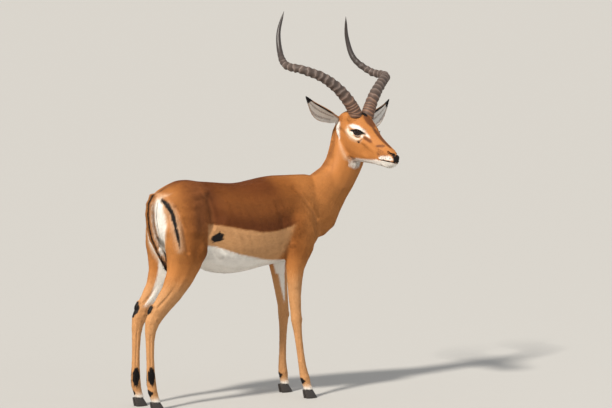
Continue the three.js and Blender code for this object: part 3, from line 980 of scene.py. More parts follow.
def ground_colours(x, out, z, r, marks):
    """How bright the red ground is, and where it darkens: darker hair along the spine, and painted shade
    over the front of the haunch.
    """
    warm = 0.22 + 0.62 * r["neck"] + 0.5 * ease(-120, -20, x) * (1 - r["neck"])
    marks["warm"] = np.clip(warm + 0.65 * ease(-575, -675, x), 0, 1)
    # darker hair along the top of the back
    spine = bell(out / 26) * ease(770, 830, z) * ease(-690, -640, x) * (1 - r["head"])
    # painted shade over the front of the haunch
    haunch = 0.7 * bell((x + 532) / 88) * ease(620, 720, z)
    marks["dark_spine_and_shade"] = np.clip(0.55 * spine + haunch, 0, 1)


NO_MARK = -60.0
DEEPEST_MARK = 40.0


def markings(points, normals):
    """How far inside each marking a point is, in millimetres, and shares of the ground colours."""
    b = to_body(points)
    r = regions(points)
    h = to_head(points)
    outer = b.copy()
    outer[:, 1] = np.abs(b[:, 1])
    x, out, z = outer.T
    marks = {}
    belly, rump = trunk_white(x, out, z)
    marks["white"] = np.maximum(belly, rump)
    marks["black"] = np.maximum.reduce([
        stroke(outer, RUMP_STRIPE, 10.5, 4.8, fade=0.07), stroke(outer, FLANK_SPOT, 15.0, 18.0, fade=0.01),
        stroke(b, CROUP_LINE, 1.5, 4.5),
    ])
    halo = np.interp(z, *STRIPE_HALO) - 0.45 * along(outer, RUMP_STRIPE)[0]
    marks["cream"] = np.maximum(np.minimum(halo, 14.0), rump + CREAM_ROUND_RUMP)
    marks["dark"] = np.full(len(b), NO_MARK)
    saddle_and_flank(b, out, r["neck"], marks)
    ground_colours(x, out, z, r, marks)
    leg_marks(b, marks)
    head_marks(h, r, marks)
    ear_marks(h, normals, r, marks)
    tail_marks(b, normals, r, marks)
    bare = np.maximum.reduce([r["head"], r["ear"], r["tail"]])
    for name in ("saddle", "tan"):
        marks[name] = marks[name] - 80 * bare
    for name in ("saddle", "cream", "tan", "white", "black", "dark"):
        marks[name] = np.clip(marks[name], -DEEPEST_MARK, DEEPEST_MARK)
    return marks, r


MARK_NAMES = ("white", "black", "saddle", "saddle_ends_and_highlight", "cream", "tan", "dark", "warm", "dark_spine_and_shade")
REGION_NAMES = ("head", "tail", "neck", "leg")


def put_values(mesh, name, values):
    """A named number at each point, for the materials to read."""
    made = mesh.attributes.new(name, "FLOAT", "POINT")
    made.data.foreach_set("value", np.asarray(values, np.float32))


def mark_mesh(mesh, marks, r, repeat=1):
    """Puts the markings on a mesh, each value on `repeat` points in turn."""
    for name in MARK_NAMES:
        put_values(mesh, name, np.repeat(marks[name], repeat))
    if r is not None:
        for name in REGION_NAMES:
            put_values(mesh, "on_" + name, np.repeat(r[name], repeat))


skin = finished_skin()
skin_marks, skin_regions = markings(points_of(skin.data), normals_of(skin.data))
mark_mesh(skin.data, skin_marks, skin_regions)


# ---- materials ----

SUNLIT = (0.50, 0.200, 0.055, 1)      # neck, face and legs
HAUNCH = (0.200, 0.058, 0.009, 1)
SADDLE = (0.120, 0.033, 0.007, 1)
TAN = (0.54, 0.285, 0.125, 1)
CREAM = (0.70, 0.50, 0.34, 1)
WHITE = (0.80, 0.76, 0.70, 1)
BLACK = (0.010, 0.008, 0.008, 1)
# dark brown: darker hair, and the painted shade over the haunch
DARK_HAIR_AND_SHADE = (0.12, 0.038, 0.016, 1)
HORN_FOOT_BROWN = (0.17, 0.082, 0.048, 1)
HORN_GREY = (0.105, 0.072, 0.056, 1)
HORN_TIP_BLACK = (0.048, 0.040, 0.038, 1)
# painted shade in the grooves between the ridges
HORN_GROOVE_SHADE = (0.030, 0.020, 0.016, 1)
# painted highlight on the crests of the ridges, tan at the foot and grey higher up
HORN_CREST_HIGHLIGHT_FOOT = (0.42, 0.22, 0.12, 1)
HORN_CREST_HIGHLIGHT = (0.30, 0.24, 0.22, 1)
HORN_DIRT = (0.05, 0.034, 0.028, 1)
IRIS_DARK = (0.008, 0.004, 0.002, 1)
IRIS_BROWN = (0.035, 0.014, 0.005, 1)
IRIS_RIM = (0.012, 0.008, 0.006, 1)
PUPIL = (0.002, 0.002, 0.003, 1)
HOOF_DARK = (0.016, 0.013, 0.012, 1)
HOOF_PALE = (0.055, 0.045, 0.040, 1)
FLOOR = (0.47, 0.46, 0.44, 1)
SKY = (0.80, 0.81, 0.82, 1)
COAT_SHINE = 0.16             # specular level
RAGGED = 7.0                  # how far, in millimetres, single hairs carry a marking past its edge


class Nodes:
    """Short ways to add and join the nodes of one tree."""

    def __init__(self, tree):
        self.tree = tree

    def add(self, kind, **values):
        node = self.tree.nodes.new(kind)
        for key, value in values.items():
            setattr(node, key, value)
        return node

    def join(self, source, target):
        self.tree.links.new(source, target)

    def feed(self, socket, value):
        if isinstance(value, bpy.types.NodeSocket):
            self.join(value, socket)
        else:
            socket.default_value = value

    def math(self, operation, a, b=0.0):
        node = self.add("ShaderNodeMath", operation=operation)
        self.feed(node.inputs[0], a)
        self.feed(node.inputs[1], b)
        return node.outputs[0]

    def blend(self, share, a, b):
        node = self.add("ShaderNodeMix", data_type="RGBA")
        self.feed(node.inputs["Factor"], share)
        self.feed(node.inputs["A"], a)
        self.feed(node.inputs["B"], b)
        return node.outputs["Result"]

    def between(self, value, low, high):
        node = self.add("ShaderNodeMapRange", interpolation_type="SMOOTHSTEP")
        self.feed(node.inputs["Value"], value)
        node.inputs["From Min"].default_value = low
        node.inputs["From Max"].default_value = high
        return node.outputs["Result"]

    def value_of(self, name):
        return self.add("ShaderNodeAttribute", attribute_name=name).outputs["Fac"]

    def noise(self, place, scale, detail=2.0):
        node = self.add("ShaderNodeTexNoise")
        self.feed(node.inputs["Vector"], place)
        node.inputs["Scale"].default_value = scale
        node.inputs["Detail"].default_value = detail
        return node.outputs["Fac"]

    def scaled(self, value, factor, plus=0.0):
        """A value times a factor, and a constant added."""
        value = self.math("MULTIPLY", value, factor)
        return self.math("ADD", value, plus) if plus else value

    def object_place(self):
        return self.add("ShaderNodeTexCoord").outputs["Object"]

    def group(self, tree):
        return self.add("ShaderNodeGroup", node_tree=tree)

    def bump(self, height, strength, distance, shade):
        node = self.add("ShaderNodeBump")
        node.inputs["Strength"].default_value = strength
        node.inputs["Distance"].default_value = distance
        self.join(height, node.inputs["Height"])
        self.join(node.outputs["Normal"], shade.inputs["Normal"])

    def placed(self, place, stretch, turn=(0, 0, 0)):
        node = self.add("ShaderNodeMapping")
        self.feed(node.inputs["Vector"], place)
        node.inputs["Scale"].default_value = stretch
        node.inputs["Rotation"].default_value = turn
        return node.outputs["Vector"]


def new_group(name, inputs, outputs):
    tree = bpy.data.node_groups.new(name, "ShaderNodeTree")
    for socket, kind, start in inputs:
        made = tree.interface.new_socket(name=socket, in_out="INPUT", socket_type=kind)
        if start is not None:
            made.default_value = start
    for socket, kind in outputs:
        tree.interface.new_socket(name=socket, in_out="OUTPUT", socket_type=kind)
    nodes = Nodes(tree)
    source = nodes.add("NodeGroupInput")
    target = nodes.add("NodeGroupOutput")
    return tree, nodes, source.outputs, target.inputs


def new_material(name):
    made = bpy.data.materials.new(name)
    made.use_nodes = True
    nodes = Nodes(made.node_tree)
    return made, nodes, made.node_tree.nodes["Principled BSDF"]


def coat_colour_group():
    """The coat's colours from the markings, with ragged edges."""
    inputs = [(name, "NodeSocketFloat", 0.0) for name in MARK_NAMES]
    inputs += [("grain", "NodeSocketFloat", 0.5), ("blotch", "NodeSocketFloat", 0.5)]
    inputs += [("tone", "NodeSocketFloat", 0.5)]
    outputs = [("colour", "NodeSocketColor"), ("roughness", "NodeSocketFloat")]
    tree, nodes, given, result = new_group("coat colours", inputs, outputs)
    rag = nodes.math("MULTIPLY", nodes.math("SUBTRACT", given["grain"], 0.5), RAGGED)

    def share_of(mark, low, high):
        return nodes.between(nodes.math("ADD", given[mark], rag), low, high)

    colour = nodes.blend(given["warm"], HAUNCH, SUNLIT)
    colour = nodes.blend(share_of("tan", -5.0, 7.0), colour, TAN)
    # the saddle's share, less the painted highlight over the ribs
    saddle = nodes.math("MULTIPLY", share_of("saddle", -5.0, 5.0), given["saddle_ends_and_highlight"])
    colour = nodes.blend(saddle, colour, SADDLE)
    # darker spine hair, and painted shade over the front of the haunch
    colour = nodes.blend(nodes.scaled(given["dark_spine_and_shade"], 0.8), colour, DARK_HAIR_AND_SHADE)
    colour = nodes.blend(share_of("cream", -9.0, 14.0), colour, CREAM)
    colour = nodes.blend(share_of("white", -4.0, 5.0), colour, WHITE)
    colour = nodes.blend(nodes.scaled(share_of("dark", -3.0, 4.0), 0.85), colour, DARK_HAIR_AND_SHADE)
    lit = nodes.scaled(given["tone"], 0.28, 0.86)
    lit = nodes.math("MULTIPLY", lit, nodes.scaled(given["blotch"], 0.3, 0.85))
    shade = nodes.add("ShaderNodeHueSaturation")
    nodes.join(colour, shade.inputs["Color"])
    nodes.join(lit, shade.inputs["Value"])
    black = nodes.between(nodes.math("ADD", given["black"], nodes.scaled(rag, 0.4)), -1.6, 2.0)
    nodes.join(nodes.blend(black, shade.outputs["Color"], BLACK), result["colour"])
    nodes.join(nodes.scaled(given["grain"], 0.16, 0.50), result["roughness"])
    return tree


STREAK_LONG = 60.0            # noise scales along and across the hair
STREAK_FINE = 560.0


def hair_grain_group():
    """Fine streaks that run with the coat over each region, and broad soft patches."""
    inputs = [("on_" + name, "NodeSocketFloat", 0.0) for name in REGION_NAMES]
    outputs = [("streaks", "NodeSocketFloat"), ("blotch", "NodeSocketFloat")]
    tree, nodes, given, result = new_group("hair grain", inputs, outputs)
    place = nodes.object_place()
    long, fine = STREAK_LONG, STREAK_FINE
    trunk = nodes.noise(nodes.placed(place, (long, fine, fine)), 1.0)
    neck = nodes.noise(nodes.placed(place, (fine, fine, long), (0, math.radians(-35), 0)), 1.0)
    leg = nodes.noise(nodes.placed(place, (fine, fine, long)), 1.0)
    turn = Matrix(HEAD_AXES.tolist()).transposed().to_euler()
    head = nodes.noise(nodes.placed(place, (long * 1.8, fine * 1.4, fine * 1.4), tuple(turn)), 1.0)
    streaks = trunk
    for name, own in (("on_leg", leg), ("on_tail", leg), ("on_neck", neck), ("on_head", head)):
        mix = nodes.add("ShaderNodeMix", data_type="FLOAT")
        nodes.join(given[name], mix.inputs["Factor"])
        nodes.join(streaks, mix.inputs["A"])
        nodes.join(own, mix.inputs["B"])
        streaks = mix.outputs["Result"]
    nodes.join(streaks, result["streaks"])
    nodes.join(nodes.noise(place, 14.0, 3.0), result["blotch"])
    return tree


COAT_COLOURS = coat_colour_group()
HAIR_GRAIN = hair_grain_group()


def coat_material(name, on_tufts):
    """The skin's hair, or the tufts over it, in the same colours."""
    made, nodes, shade = new_material(name)
    colours = nodes.group(COAT_COLOURS)
    for mark in MARK_NAMES:
        nodes.join(nodes.value_of(mark), colours.inputs[mark])
    grain = nodes.group(HAIR_GRAIN)
    nodes.join(grain.outputs["blotch"], colours.inputs["blotch"])
    if on_tufts:
        nodes.join(nodes.value_of("tone"), colours.inputs["tone"])
        nodes.join(nodes.value_of("grain"), colours.inputs["grain"])
    else:
        for region in REGION_NAMES:
            nodes.join(nodes.value_of("on_" + region), grain.inputs["on_" + region])
        nodes.join(grain.outputs["streaks"], colours.inputs["grain"])
        nodes.join(grain.outputs["streaks"], colours.inputs["tone"])
        nodes.bump(grain.outputs["streaks"], 0.5, 0.0007, shade)
    nodes.join(colours.outputs["colour"], shade.inputs["Base Color"])
    nodes.join(colours.outputs["roughness"], shade.inputs["Roughness"])
    shade.inputs["Specular IOR Level"].default_value = COAT_SHINE
    return made


COAT = coat_material("short coat", on_tufts=False)
TUFTS = coat_material("coat tufts", on_tufts=True)
skin.data.materials.append(COAT)


# ---- coat ----

def unwrap(skin):
    """The skin's own unwrap, which the tufts share."""
    pick(skin)
    skin.data.uv_layers.new(name="OFBake")
    bpy.ops.object.mode_set(mode="EDIT")
    bpy.ops.mesh.select_all(action="SELECT")
    bpy.ops.uv.smart_project(angle_limit=math.radians(66), island_margin=0.002)
    bpy.ops.object.mode_set(mode="OBJECT")


BALD_ROUND_EYE = 24           # no tufts grow inside the lids
HOOF_TOP = 33.5               # nor below the tops of the hooves


class Surface:
    """The skin's triangles as arrays, to set tufts on."""

    def __init__(self, skin):
        mesh = skin.data
        self.points = points_of(mesh)
        self.normals = normals_of(mesh)
        corners = np.empty(len(mesh.polygons) * 3, np.int32)
        mesh.polygons.foreach_get("vertices", corners)
        self.corners = corners.reshape(-1, 3)
        uv = np.empty(len(mesh.loops) * 2, np.float32)
        mesh.uv_layers["OFBake"].data.foreach_get("uv", uv)
        self.uv = uv.reshape(-1, 3, 2).astype(float)
        a, b, c = (self.points[self.corners[:, i]] for i in range(3))
        self.area = np.linalg.norm(np.cross(b - a, c - a), axis=1) / 2
        self.middle = (a + b + c) / 3
        r = regions(self.middle)
        self.zone = np.where(to_body(self.middle)[:, 0] < RUMP_FRONT, "rump", "barrel").astype("<U6")
        self.zone[r["neck"] > 0.5] = "neck"
        self.zone[r["leg"] > 0.5] = "leg"
        self.zone[r["head"] > 0.5] = "head"
        self.zone[r["ear"] > 0.3] = "ear"
        self.zone[r["tail"] > 0.5] = "tail"
        h = to_head(self.middle)
        h[:, 1] = np.abs(h[:, 1])
        away, _, _, inner, _ = round_eye(h)
        self.bald = inner & (away < BALD_ROUND_EYE)
        self.bald |= self.middle[:, 2] < HOOF_TOP

    def roots(self, where, count):
        """Points spread evenly over the chosen triangles, with their normals and unwrap."""
        weight = np.where(where & ~self.bald, self.area, 0.0)
        chosen = rng.choice(len(weight), size=count, p=weight / weight.sum())
        s, t = rng.random(count), rng.random(count)
        over = s + t > 1
        s, t = np.where(over, 1 - s, s), np.where(over, 1 - t, t)
        shares = np.stack([1 - s - t, s, t], 1)[..., None]
        own = self.corners[chosen]
        points = (self.points[own] * shares).sum(1)
        normals = unit((self.normals[own] * shares).sum(1))
        return points, normals, (self.uv[chosen] * shares).sum(1)


def line_way(points, path):
    """Way of the nearest stretch of a polyline."""
    path = np.asarray(path, float)
    lengths = run_of(path)
    ways = unit(np.gradient(path, lengths, axis=0))
    return unit(read_along(along(points, path)[1], lengths, ways))


def coat_lie(points, normals):
    """The way the hair lies at each point, along the skin."""
    b = to_body(points)
    h = to_head(points)
    r = regions(points)
    x, z = b[:, 0], b[:, 2]

    def mix(way, other, weight):
        return unit(way * (1 - weight[:, None]) + np.asarray(other, float) * weight[:, None])

    way = np.tile(unit([-1.0, 0, -0.32]), (len(b), 1))
    way = mix(way, unit([-0.45, 0, -1.0]), ease(-470, -560, x) * ease(860, 780, z))
    way = mix(way, unit([-0.5, 0, -1.0]), ease(-230, -150, x) * ease(820, 720, z))
    way = mix(way, -line_way(b, NECK_LINE), r["neck"])
    for name in LEGS:
        mine = of_leg(b, name, LEG_TOP)
        if mine.any():
            down = line_way(b[mine], leg_path(name))
            way[mine] = mix(way[mine], down, ease(620, 480, z[mine]))
    outward = 0.25 * np.sign(h[:, 1])
    upward = 0.22 - 0.006 * (h[:, 2] + 60).clip(-80, 20)
    head = np.stack([np.full(len(h), -1.0), outward, upward], 1)
    way = mix(way, unit(head) @ HEAD_AXES.T, r["head"])
    for side in (1, -1):
        mine = (r["ear"] > 0.02) & (side * h[:, 1] > 0)
        ear_way = HEAD_AXES @ ear_place(h[mine], side)[5]
        way[mine] = mix(way[mine], ear_way, r["ear"][mine])
    way = mix(way, line_way(b, TAIL_LINE), r["tail"])
    way = way - normals * (way * normals).sum(1)[:, None]
    return unit(way)


LONG_HAIR_ON_HEAD = [   # head frame: path, reach, added length, added lift
    (HORN_FOOT, 9, 5.0, 2.2),
    ([(-24, 48, -56), (-38, 50, -80), (-36, 48, -104)], 18, 7.0, 1.6),
    ([(66, 0, -194), (40, 20, -190)], 30, 7.0, 1.6),
    ([(210, 6, -122), (240, 4, -112)], 14, 2.5, 1.0),
    ([(20, 0, 2)], 20, 5.0, 1.6),
]
LONG_HAIR_ON_BODY = [
    ([(-20, 0, 560), (-90, 0, 548), (-160, 0, 520)], 60, 7.0, 1.4),
    ([(-200, 0, 520), (-330, 0, 505), (-440, 0, 520)], 50, 6.0, 1.0),
    ([(-672, -28, 610), (-662, -42, 552)], 26, 20.0, 2.6),
    ([(-640, 60, 760), (-655, 62, 640)], 40, 3.0, 0.8),
]

GLAND_FOOT = 60               # brush of hair round the glands of the hind cannons
GLAND_TOP = 190
GLAND_REACH = 22
GLAND_LONGER = 9.0
GLAND_HIGHER = 3.6


def hair_sizes(points, length, lift):
    """Length and lift of the tufts, longer where the coat breaks the form."""
    b = to_body(points)
    h = to_head(points)
    h[:, 1] = np.abs(h[:, 1])
    length = np.full(len(points), float(length))
    lift = np.full(len(points), float(lift))
    for places, table in ((h, LONG_HAIR_ON_HEAD), (b, LONG_HAIR_ON_BODY)):
        for path, reach, longer, higher in table:
            close = closeness(places, path, reach)
            length += longer * close
            lift += higher * close
    for name in ("hindleg_left", "hindleg_right"):
        mine = of_leg(b, name, GLAND_TOP) & (b[:, 2] > GLAND_FOOT)
        p = on_leg(b[mine], name)
        for path, _, _ in CANNON_GLANDS:
            close = bell(along(p + [0, 0, LEG_BLACK_DROP.get(name, 0.0)], path)[0] / GLAND_REACH)
            length[mine] += GLAND_LONGER * close
            lift[mine] += GLAND_HIGHER * close
    return length, lift


TUFT_PATCH = 0.003            # width on the unwrap
TUFT_POINTS = 4
TUFT_FACES = [(1, 0, 2), (0, 3, 2), (3, 1, 2), (0, 1, 3)]


def tuft_mesh(name, corners, faces, leaning):
    """A mesh of triangles, shaded by the given leaning of each point."""
    mesh = bpy.data.meshes.new(name)
    mesh.vertices.add(len(corners))
    mesh.vertices.foreach_set("co", (corners * MM).astype(np.float32).ravel())
    mesh.loops.add(len(faces) * 3)
    mesh.loops.foreach_set("vertex_index", faces.astype(np.int32).ravel())
    mesh.polygons.add(len(faces))
    mesh.polygons.foreach_set("loop_start", np.arange(0, len(faces) * 3, 3, dtype=np.int32))
    mesh.update()
    mesh.validate()
    mesh.shade_smooth()
    mesh.normals_split_custom_set_from_vertices(leaning.astype(np.float32))
    return mesh


def tufts(name, roots, length, width, lift, spread=0.16, sink=0.5, way=None):
    """One mesh of tapering tufts. Each is a closed sliver that starts under the skin's surface and
    ends `lift` above it, all in the way of the coat."""
    points, normals, uv = roots
    count = len(points)
    length, lift = hair_sizes(points, length, lift)
    if way is None:
        way = coat_lie(points, normals)
    side = np.cross(normals, way)
    sway = rng.normal(0, spread, count)[:, None]
    way = unit(way + side * sway)
    side = np.cross(normals, way)
    length = length[:, None] * rng.uniform(0.7, 1.25, count)[:, None]
    half = 0.5 * width * rng.uniform(0.7, 1.3, count)[:, None]
    lift = lift[:, None] * rng.uniform(0.6, 1.15, count)[:, None]
    bend = rng.normal(0, 0.10, count)[:, None]
    foot = points - normals * sink
    crown = foot + way * length * 0.4 + normals * (sink + 0.35 * half + 0.5 * lift)
    tip = points + way * length + normals * lift + side * length * bend
    corners = np.stack([foot - side * half, foot + side * half, crown, tip], 1).reshape(-1, 3)
    leaning = np.stack([normals - 0.35 * side, normals + 0.35 * side, normals, normals + 0.25 * way], 1)
    leaning = unit(leaning.reshape(-1, 3))
    starts = np.arange(count)[:, None, None] * TUFT_POINTS
    faces = (starts + np.array(TUFT_FACES)[None]).reshape(-1, 3)
    mesh = tuft_mesh(name, corners, faces, leaning)
    marks, _ = markings(points, normals)
    mark_mesh(mesh, marks, None, TUFT_POINTS)
    put_values(mesh, "tone", np.repeat(rng.random(count), TUFT_POINTS))
    put_values(mesh, "grain", np.repeat(rng.random(count), TUFT_POINTS))
    turn = np.arange(TUFT_POINTS) / TUFT_POINTS * 2 * math.pi
    patch = np.stack([np.cos(turn), np.sin(turn)], 1) * TUFT_PATCH / 2
    spots = (uv[:, None] + patch[None]).reshape(-1, 2)
    layer = mesh.uv_layers.new(name="OFBake")
    layer.data.foreach_set("uv", spots[faces.ravel()].astype(np.float32).ravel())
    piece = link(name, mesh)
    mesh.materials.append(TUFTS)
    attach(piece, "root")
    return piece


RUMP_FRONT = -400             # body frame: where the rump's coat piece meets the barrel's
COAT_PIECES = [   # name, zone, how many tufts, length, width, lift, spread, sink, slot
    ("coat_rump", "rump", 44000, 10.0, 1.6, 0.55, 0.16, 0.3, "coat"),
    ("coat_barrel", "barrel", 48000, 10.0, 1.6, 0.55, 0.16, 0.3, "coat"),
    ("coat_neck", "neck", 36000, 9.0, 1.5, 0.6, 0.16, 0.3, "coat"),
    ("coat_legs", "leg", 48000, 6.5, 1.2, 0.4, 0.1, 0.25, "coat"),
    ("coat_face", "head", 48000, 4.2, 0.7, 0.32, 0.16, 0.22, "face"),
    ("coat_ears", "ear", 30000, 5.0, 0.6, 0.45, 0.16, 0.25, "ear"),
    ("coat_tail", "tail", 18000, 13.0, 1.2, 1.5, 0.16, 0.5, "coat"),
]


def dress():
    surface = Surface(skin)
    for name, zone, count, length, width, lift, spread, sink, slot in COAT_PIECES:
        roots = surface.roots(surface.zone == zone, count)
        tufts(name, roots, length, width, lift, spread, sink)
    lashes(surface)


LASHES = 34
LASH_SPAN = (-46, 54)         # degrees round the eyeball


def lashes(surface):
    """Short stiff hairs along the upper lids."""
    out, ahead, up = EYE_AXES
    flat = np.radians(np.linspace(*LASH_SPAN, LASHES))
    rise = np.radians(LID_RISE * (1 - (np.degrees(flat) / LID_HALF_LENGTH) ** 2) ** 0.75 + 3)
    own = np.cos(rise)[:, None] * (np.cos(flat)[:, None] * out + np.sin(flat)[:, None] * ahead)
    own = own + np.sin(rise)[:, None] * up
    ways, places = [], []
    for side in (1, -1):
        mirror = np.array([1, side, 1])
        places.append(from_head((EYE_AT + own * (EYE_RADIUS + LID_THICKNESS - 0.6)) * mirror))
        ways.append(((own + 0.35 * np.sin(flat)[:, None] * ahead - 0.25 * up) * mirror) @ HEAD_AXES.T)
    places, ways = np.vstack(places), unit(np.vstack(ways))
    nearest = [int(np.argmin(np.linalg.norm(surface.middle - place, axis=1))) for place in places]
    normals = unit(np.cross(np.cross(ways, HEAD_AXES[:, 2]), ways))
    uv = surface.uv[nearest].mean(1)
    tufts("eyelashes", (places, normals, uv), 8.5, 0.9, 1.2, sink=0.1, way=ways)


unwrap(skin)
dress()


# ---- horns ----

def horn_curve(side):
    """Points of a horn's line at even steps, in the figure's frame."""
    line = np.array(HORN_LINE, float) * [1, side, 1]
    line = np.vstack([2 * line[0] - line[1], line, 2 * line[-1] - line[-2]])
    run = []
    for p0, p1, p2, p3 in zip(line, line[1:], line[2:], line[3:]):
        t1 = np.linalg.norm(p1 - p0) ** 0.5
        t2 = t1 + np.linalg.norm(p2 - p1) ** 0.5
        t3 = t2 + np.linalg.norm(p3 - p2) ** 0.5
        t = np.linspace(t1, t2, 60, endpoint=False)[:, None]
        a1 = (t1 - t) / t1 * p0 + t / t1 * p1
        a2 = (t2 - t) / (t2 - t1) * p1 + (t - t1) / (t2 - t1) * p2
        a3 = (t3 - t) / (t3 - t2) * p2 + (t - t2) / (t3 - t2) * p3
        b1 = (t2 - t) / t2 * a1 + t / t2 * a2
        b2 = (t3 - t) / (t3 - t1) * a2 + (t - t1) / (t3 - t1) * a3
        run.append((t2 - t) / (t2 - t1) * b1 + (t - t1) / (t2 - t1) * b2)
    run = np.vstack(run + [line[-2][None]])
    lengths = run_of(run)
    return lambda share: read_along(share, lengths, run)


HORN_FINE_RIDGES = 5      # close together at the foot
HORN_FINE = 0.085
HORN_RIDGES = 22
HORN_RIDGED = 0.76        # share of the horn's length that is ridged
HORN_SIDES = 44
RINGS_PER_RIDGE = 11
HORN_END_RINGS = 60
HORN_RIDGE_HEIGHT = 5.0
HORN_FADE = 0.14          # share over which the ridges die away
HORN_SLANT = 0.16         # share of a ridge's width


def horn(name, side):
    """A horn along its line, with ridges that are steeper towards the tip and fine grooves."""
    curve = horn_curve(side)
    steps = [0, HORN_FINE_RIDGES, HORN_RIDGES]
    places = [0, HORN_FINE, HORN_RIDGED]
    ridged = np.linspace(0, HORN_RIDGES, HORN_RIDGES * RINGS_PER_RIDGE, endpoint=False)
    shares = np.concatenate([np.interp(ridged, steps, places),
                             np.linspace(HORN_RIDGED, 1, HORN_END_RINGS)])
    centres = curve(shares)
    ahead = unit(curve(np.minimum(shares + 0.004, 1)) - curve(np.maximum(shares - 0.004, 0)))
    across = unit(np.array([1.0, 0, 0]) - ahead * ahead[:, :1])
    up = np.cross(ahead, across)
    angle = 2 * math.pi * np.arange(HORN_SIDES) / HORN_SIDES
    taper = HORN_BASE * (1 - shares) ** 0.6 * (1 - 0.1 * np.sin(math.pi * shares)) + 0.8
    phase = np.interp(shares, places, steps)
    ridged = np.clip((HORN_RIDGED - shares) / HORN_FADE, 0, 1)
    fade = ridged * np.interp(shares, [0, HORN_FINE, HORN_FINE + 0.04], [0.4, 0.45, 1])
    s, a = np.meshgrid(phase, angle, indexing="ij")
    wander = 0.10 * np.sin(2 * a + 1.7 * np.floor(s)) + 0.05 * np.sin(5 * a + 2.3 * s)
    slope = s + wander + HORN_SLANT * np.cos(a)
    saw = slope % 1.0
    crest = np.where(saw < 0.7, (saw / 0.7) ** 1.5, ((1 - saw) / 0.3) ** 0.9)
    strength = (0.55 + 0.45 * np.cos(a * 0.5) ** 2) * (0.85 + 0.15 * np.sin(3.1 * np.floor(slope)))
    grooves = 0.22 * np.sin(19 * a + 3 * np.sin(s * 0.7)) + 0.14 * np.sin(31 * a + 0.5 * s)
    tip = ease(0, 0.05, 1 - shares)
    radius = taper[:, None] + fade[:, None] * (HORN_RIDGE_HEIGHT * crest * strength - 1.5)
    radius = radius + (grooves * fade[:, None]) * (taper / HORN_BASE)[:, None] ** 0.5
    radius *= (0.25 + 0.75 * tip)[:, None] ** 0.5
    radius[0] *= 0.96
    outward = np.cos(a)[..., None] * across[:, None] + np.sin(a)[..., None] * up[:, None]
    points = centres[:, None] + radius[..., None] * outward
    rings = len(shares)
    points = np.vstack([points.reshape(-1, 3), centres[:1], centres[-1:] + ahead[-1:] * 0.8])
    faces = []
    for i in range(rings - 1):
        for j in range(HORN_SIDES):
            k = (j + 1) % HORN_SIDES
            faces.append((i * HORN_SIDES + j, i * HORN_SIDES + k,
                          (i + 1) * HORN_SIDES + k, (i + 1) * HORN_SIDES + j))
    foot, last = rings * HORN_SIDES, (rings - 1) * HORN_SIDES
    for j in range(HORN_SIDES):
        k = (j + 1) % HORN_SIDES
        faces.append((k, j, foot))
        faces.append((last + j, last + k, foot + 1))
    mesh = mesh_from(name, from_head(points) * MM, faces)
    work = bmesh.new()
    work.from_mesh(mesh)
    bmesh.ops.recalc_face_normals(work, faces=work.faces)
    work.to_mesh(mesh)
    work.free()
    put_values(mesh, "crest", np.append((crest * ridged[:, None]).ravel(), [0, 0]))
    put_values(mesh, "share", np.append(np.repeat(shares, HORN_SIDES), [0, 1]))
    mesh.shade_smooth()
    return link(name, mesh)


def horn_material():
    made, nodes, shade = new_material("horn")
    share = nodes.value_of("share")
    crest = nodes.value_of("crest")
    place = nodes.object_place()
    colour = nodes.blend(nodes.between(share, 0.03, 0.22), HORN_FOOT_BROWN, HORN_GREY)
    colour = nodes.blend(nodes.between(share, 0.55, 0.78), colour, HORN_TIP_BLACK)
    # painted shade in the grooves between the ridges
    colour = nodes.blend(nodes.scaled(nodes.between(crest, 0.75, 0.2), 0.55), colour, HORN_GROOVE_SHADE)
    # painted highlight on the crests of the ridges
    crest_highlight = nodes.blend(nodes.between(share, 0.02, 0.2), HORN_CREST_HIGHLIGHT_FOOT, HORN_CREST_HIGHLIGHT)
    colour = nodes.blend(nodes.scaled(nodes.between(crest, 0.66, 1.0), 0.5), colour, crest_highlight)
    mottle = nodes.between(nodes.noise(place, 90.0, 4.0), 0.45, 0.75)
    colour = nodes.blend(nodes.scaled(mottle, 0.35), colour, HORN_DIRT)
    nodes.join(colour, shade.inputs["Base Color"])
    rough = nodes.math("SUBTRACT", 0.62, nodes.scaled(nodes.between(share, 0.6, 0.85), 0.25))
    nodes.join(rough, shade.inputs["Roughness"])
    nodes.bump(nodes.noise(place, 420.0, 3.0), 0.35, 0.0006, shade)
    return made


SIDES = (("left", 1), ("right", -1))
HORN = horn_material()
for place_name, way in SIDES:
    ringed = horn("ringed_horn_" + place_name, way)
    ringed.data.materials.append(HORN)
    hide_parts("horn_" + place_name)
    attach(ringed, "root")


# ---- eyes ----

CORNEA_ANGLE = 36.0           # degrees from the gaze
CORNEA_RISE = 1.1
IRIS_EDGE = (34.0, 44.0)
PUPIL_LENGTH = 8.4            # half sizes of the long pupil
PUPIL_HEIGHT = 3.6


def eyeball(name, side):
    """A ball with a raised cornea, and its gaze and pupil axes kept for the material."""
    centre = from_head([EYE_AT * [1, side, 1]])[0]
    gaze = HEAD_AXES @ (EYE_OUT * [1, side, 1])
    deselect()
    bpy.ops.mesh.primitive_uv_sphere_add(segments=48, ring_count=32, radius=EYE_RADIUS * MM,
                                         location=centre * MM)
    ball = bpy.context.active_object
    ball.name = name
    ball.rotation_euler = Vector(gaze).to_track_quat("Z", "Y").to_euler()
    bpy.ops.object.transform_apply(location=True, rotation=True, scale=True)
    points = points_of(ball.data)
    d = points - centre
    angle = np.degrees(np.arccos(np.clip(unit(d) @ gaze, -1, 1)))
    rise = CORNEA_RISE * bell(angle / CORNEA_ANGLE)
    points = centre + unit(d) * (EYE_RADIUS + rise)[:, None]
    place_points(ball.data, points)
    own = (d @ HEAD_AXES) * [1, side, 1]
    put_values(ball.data, "off_gaze", angle)
    put_values(ball.data, "ahead", own @ EYE_AHEAD)
    put_values(ball.data, "above", own @ EYE_AXES[2])
    ball.data.shade_smooth()
    return ball


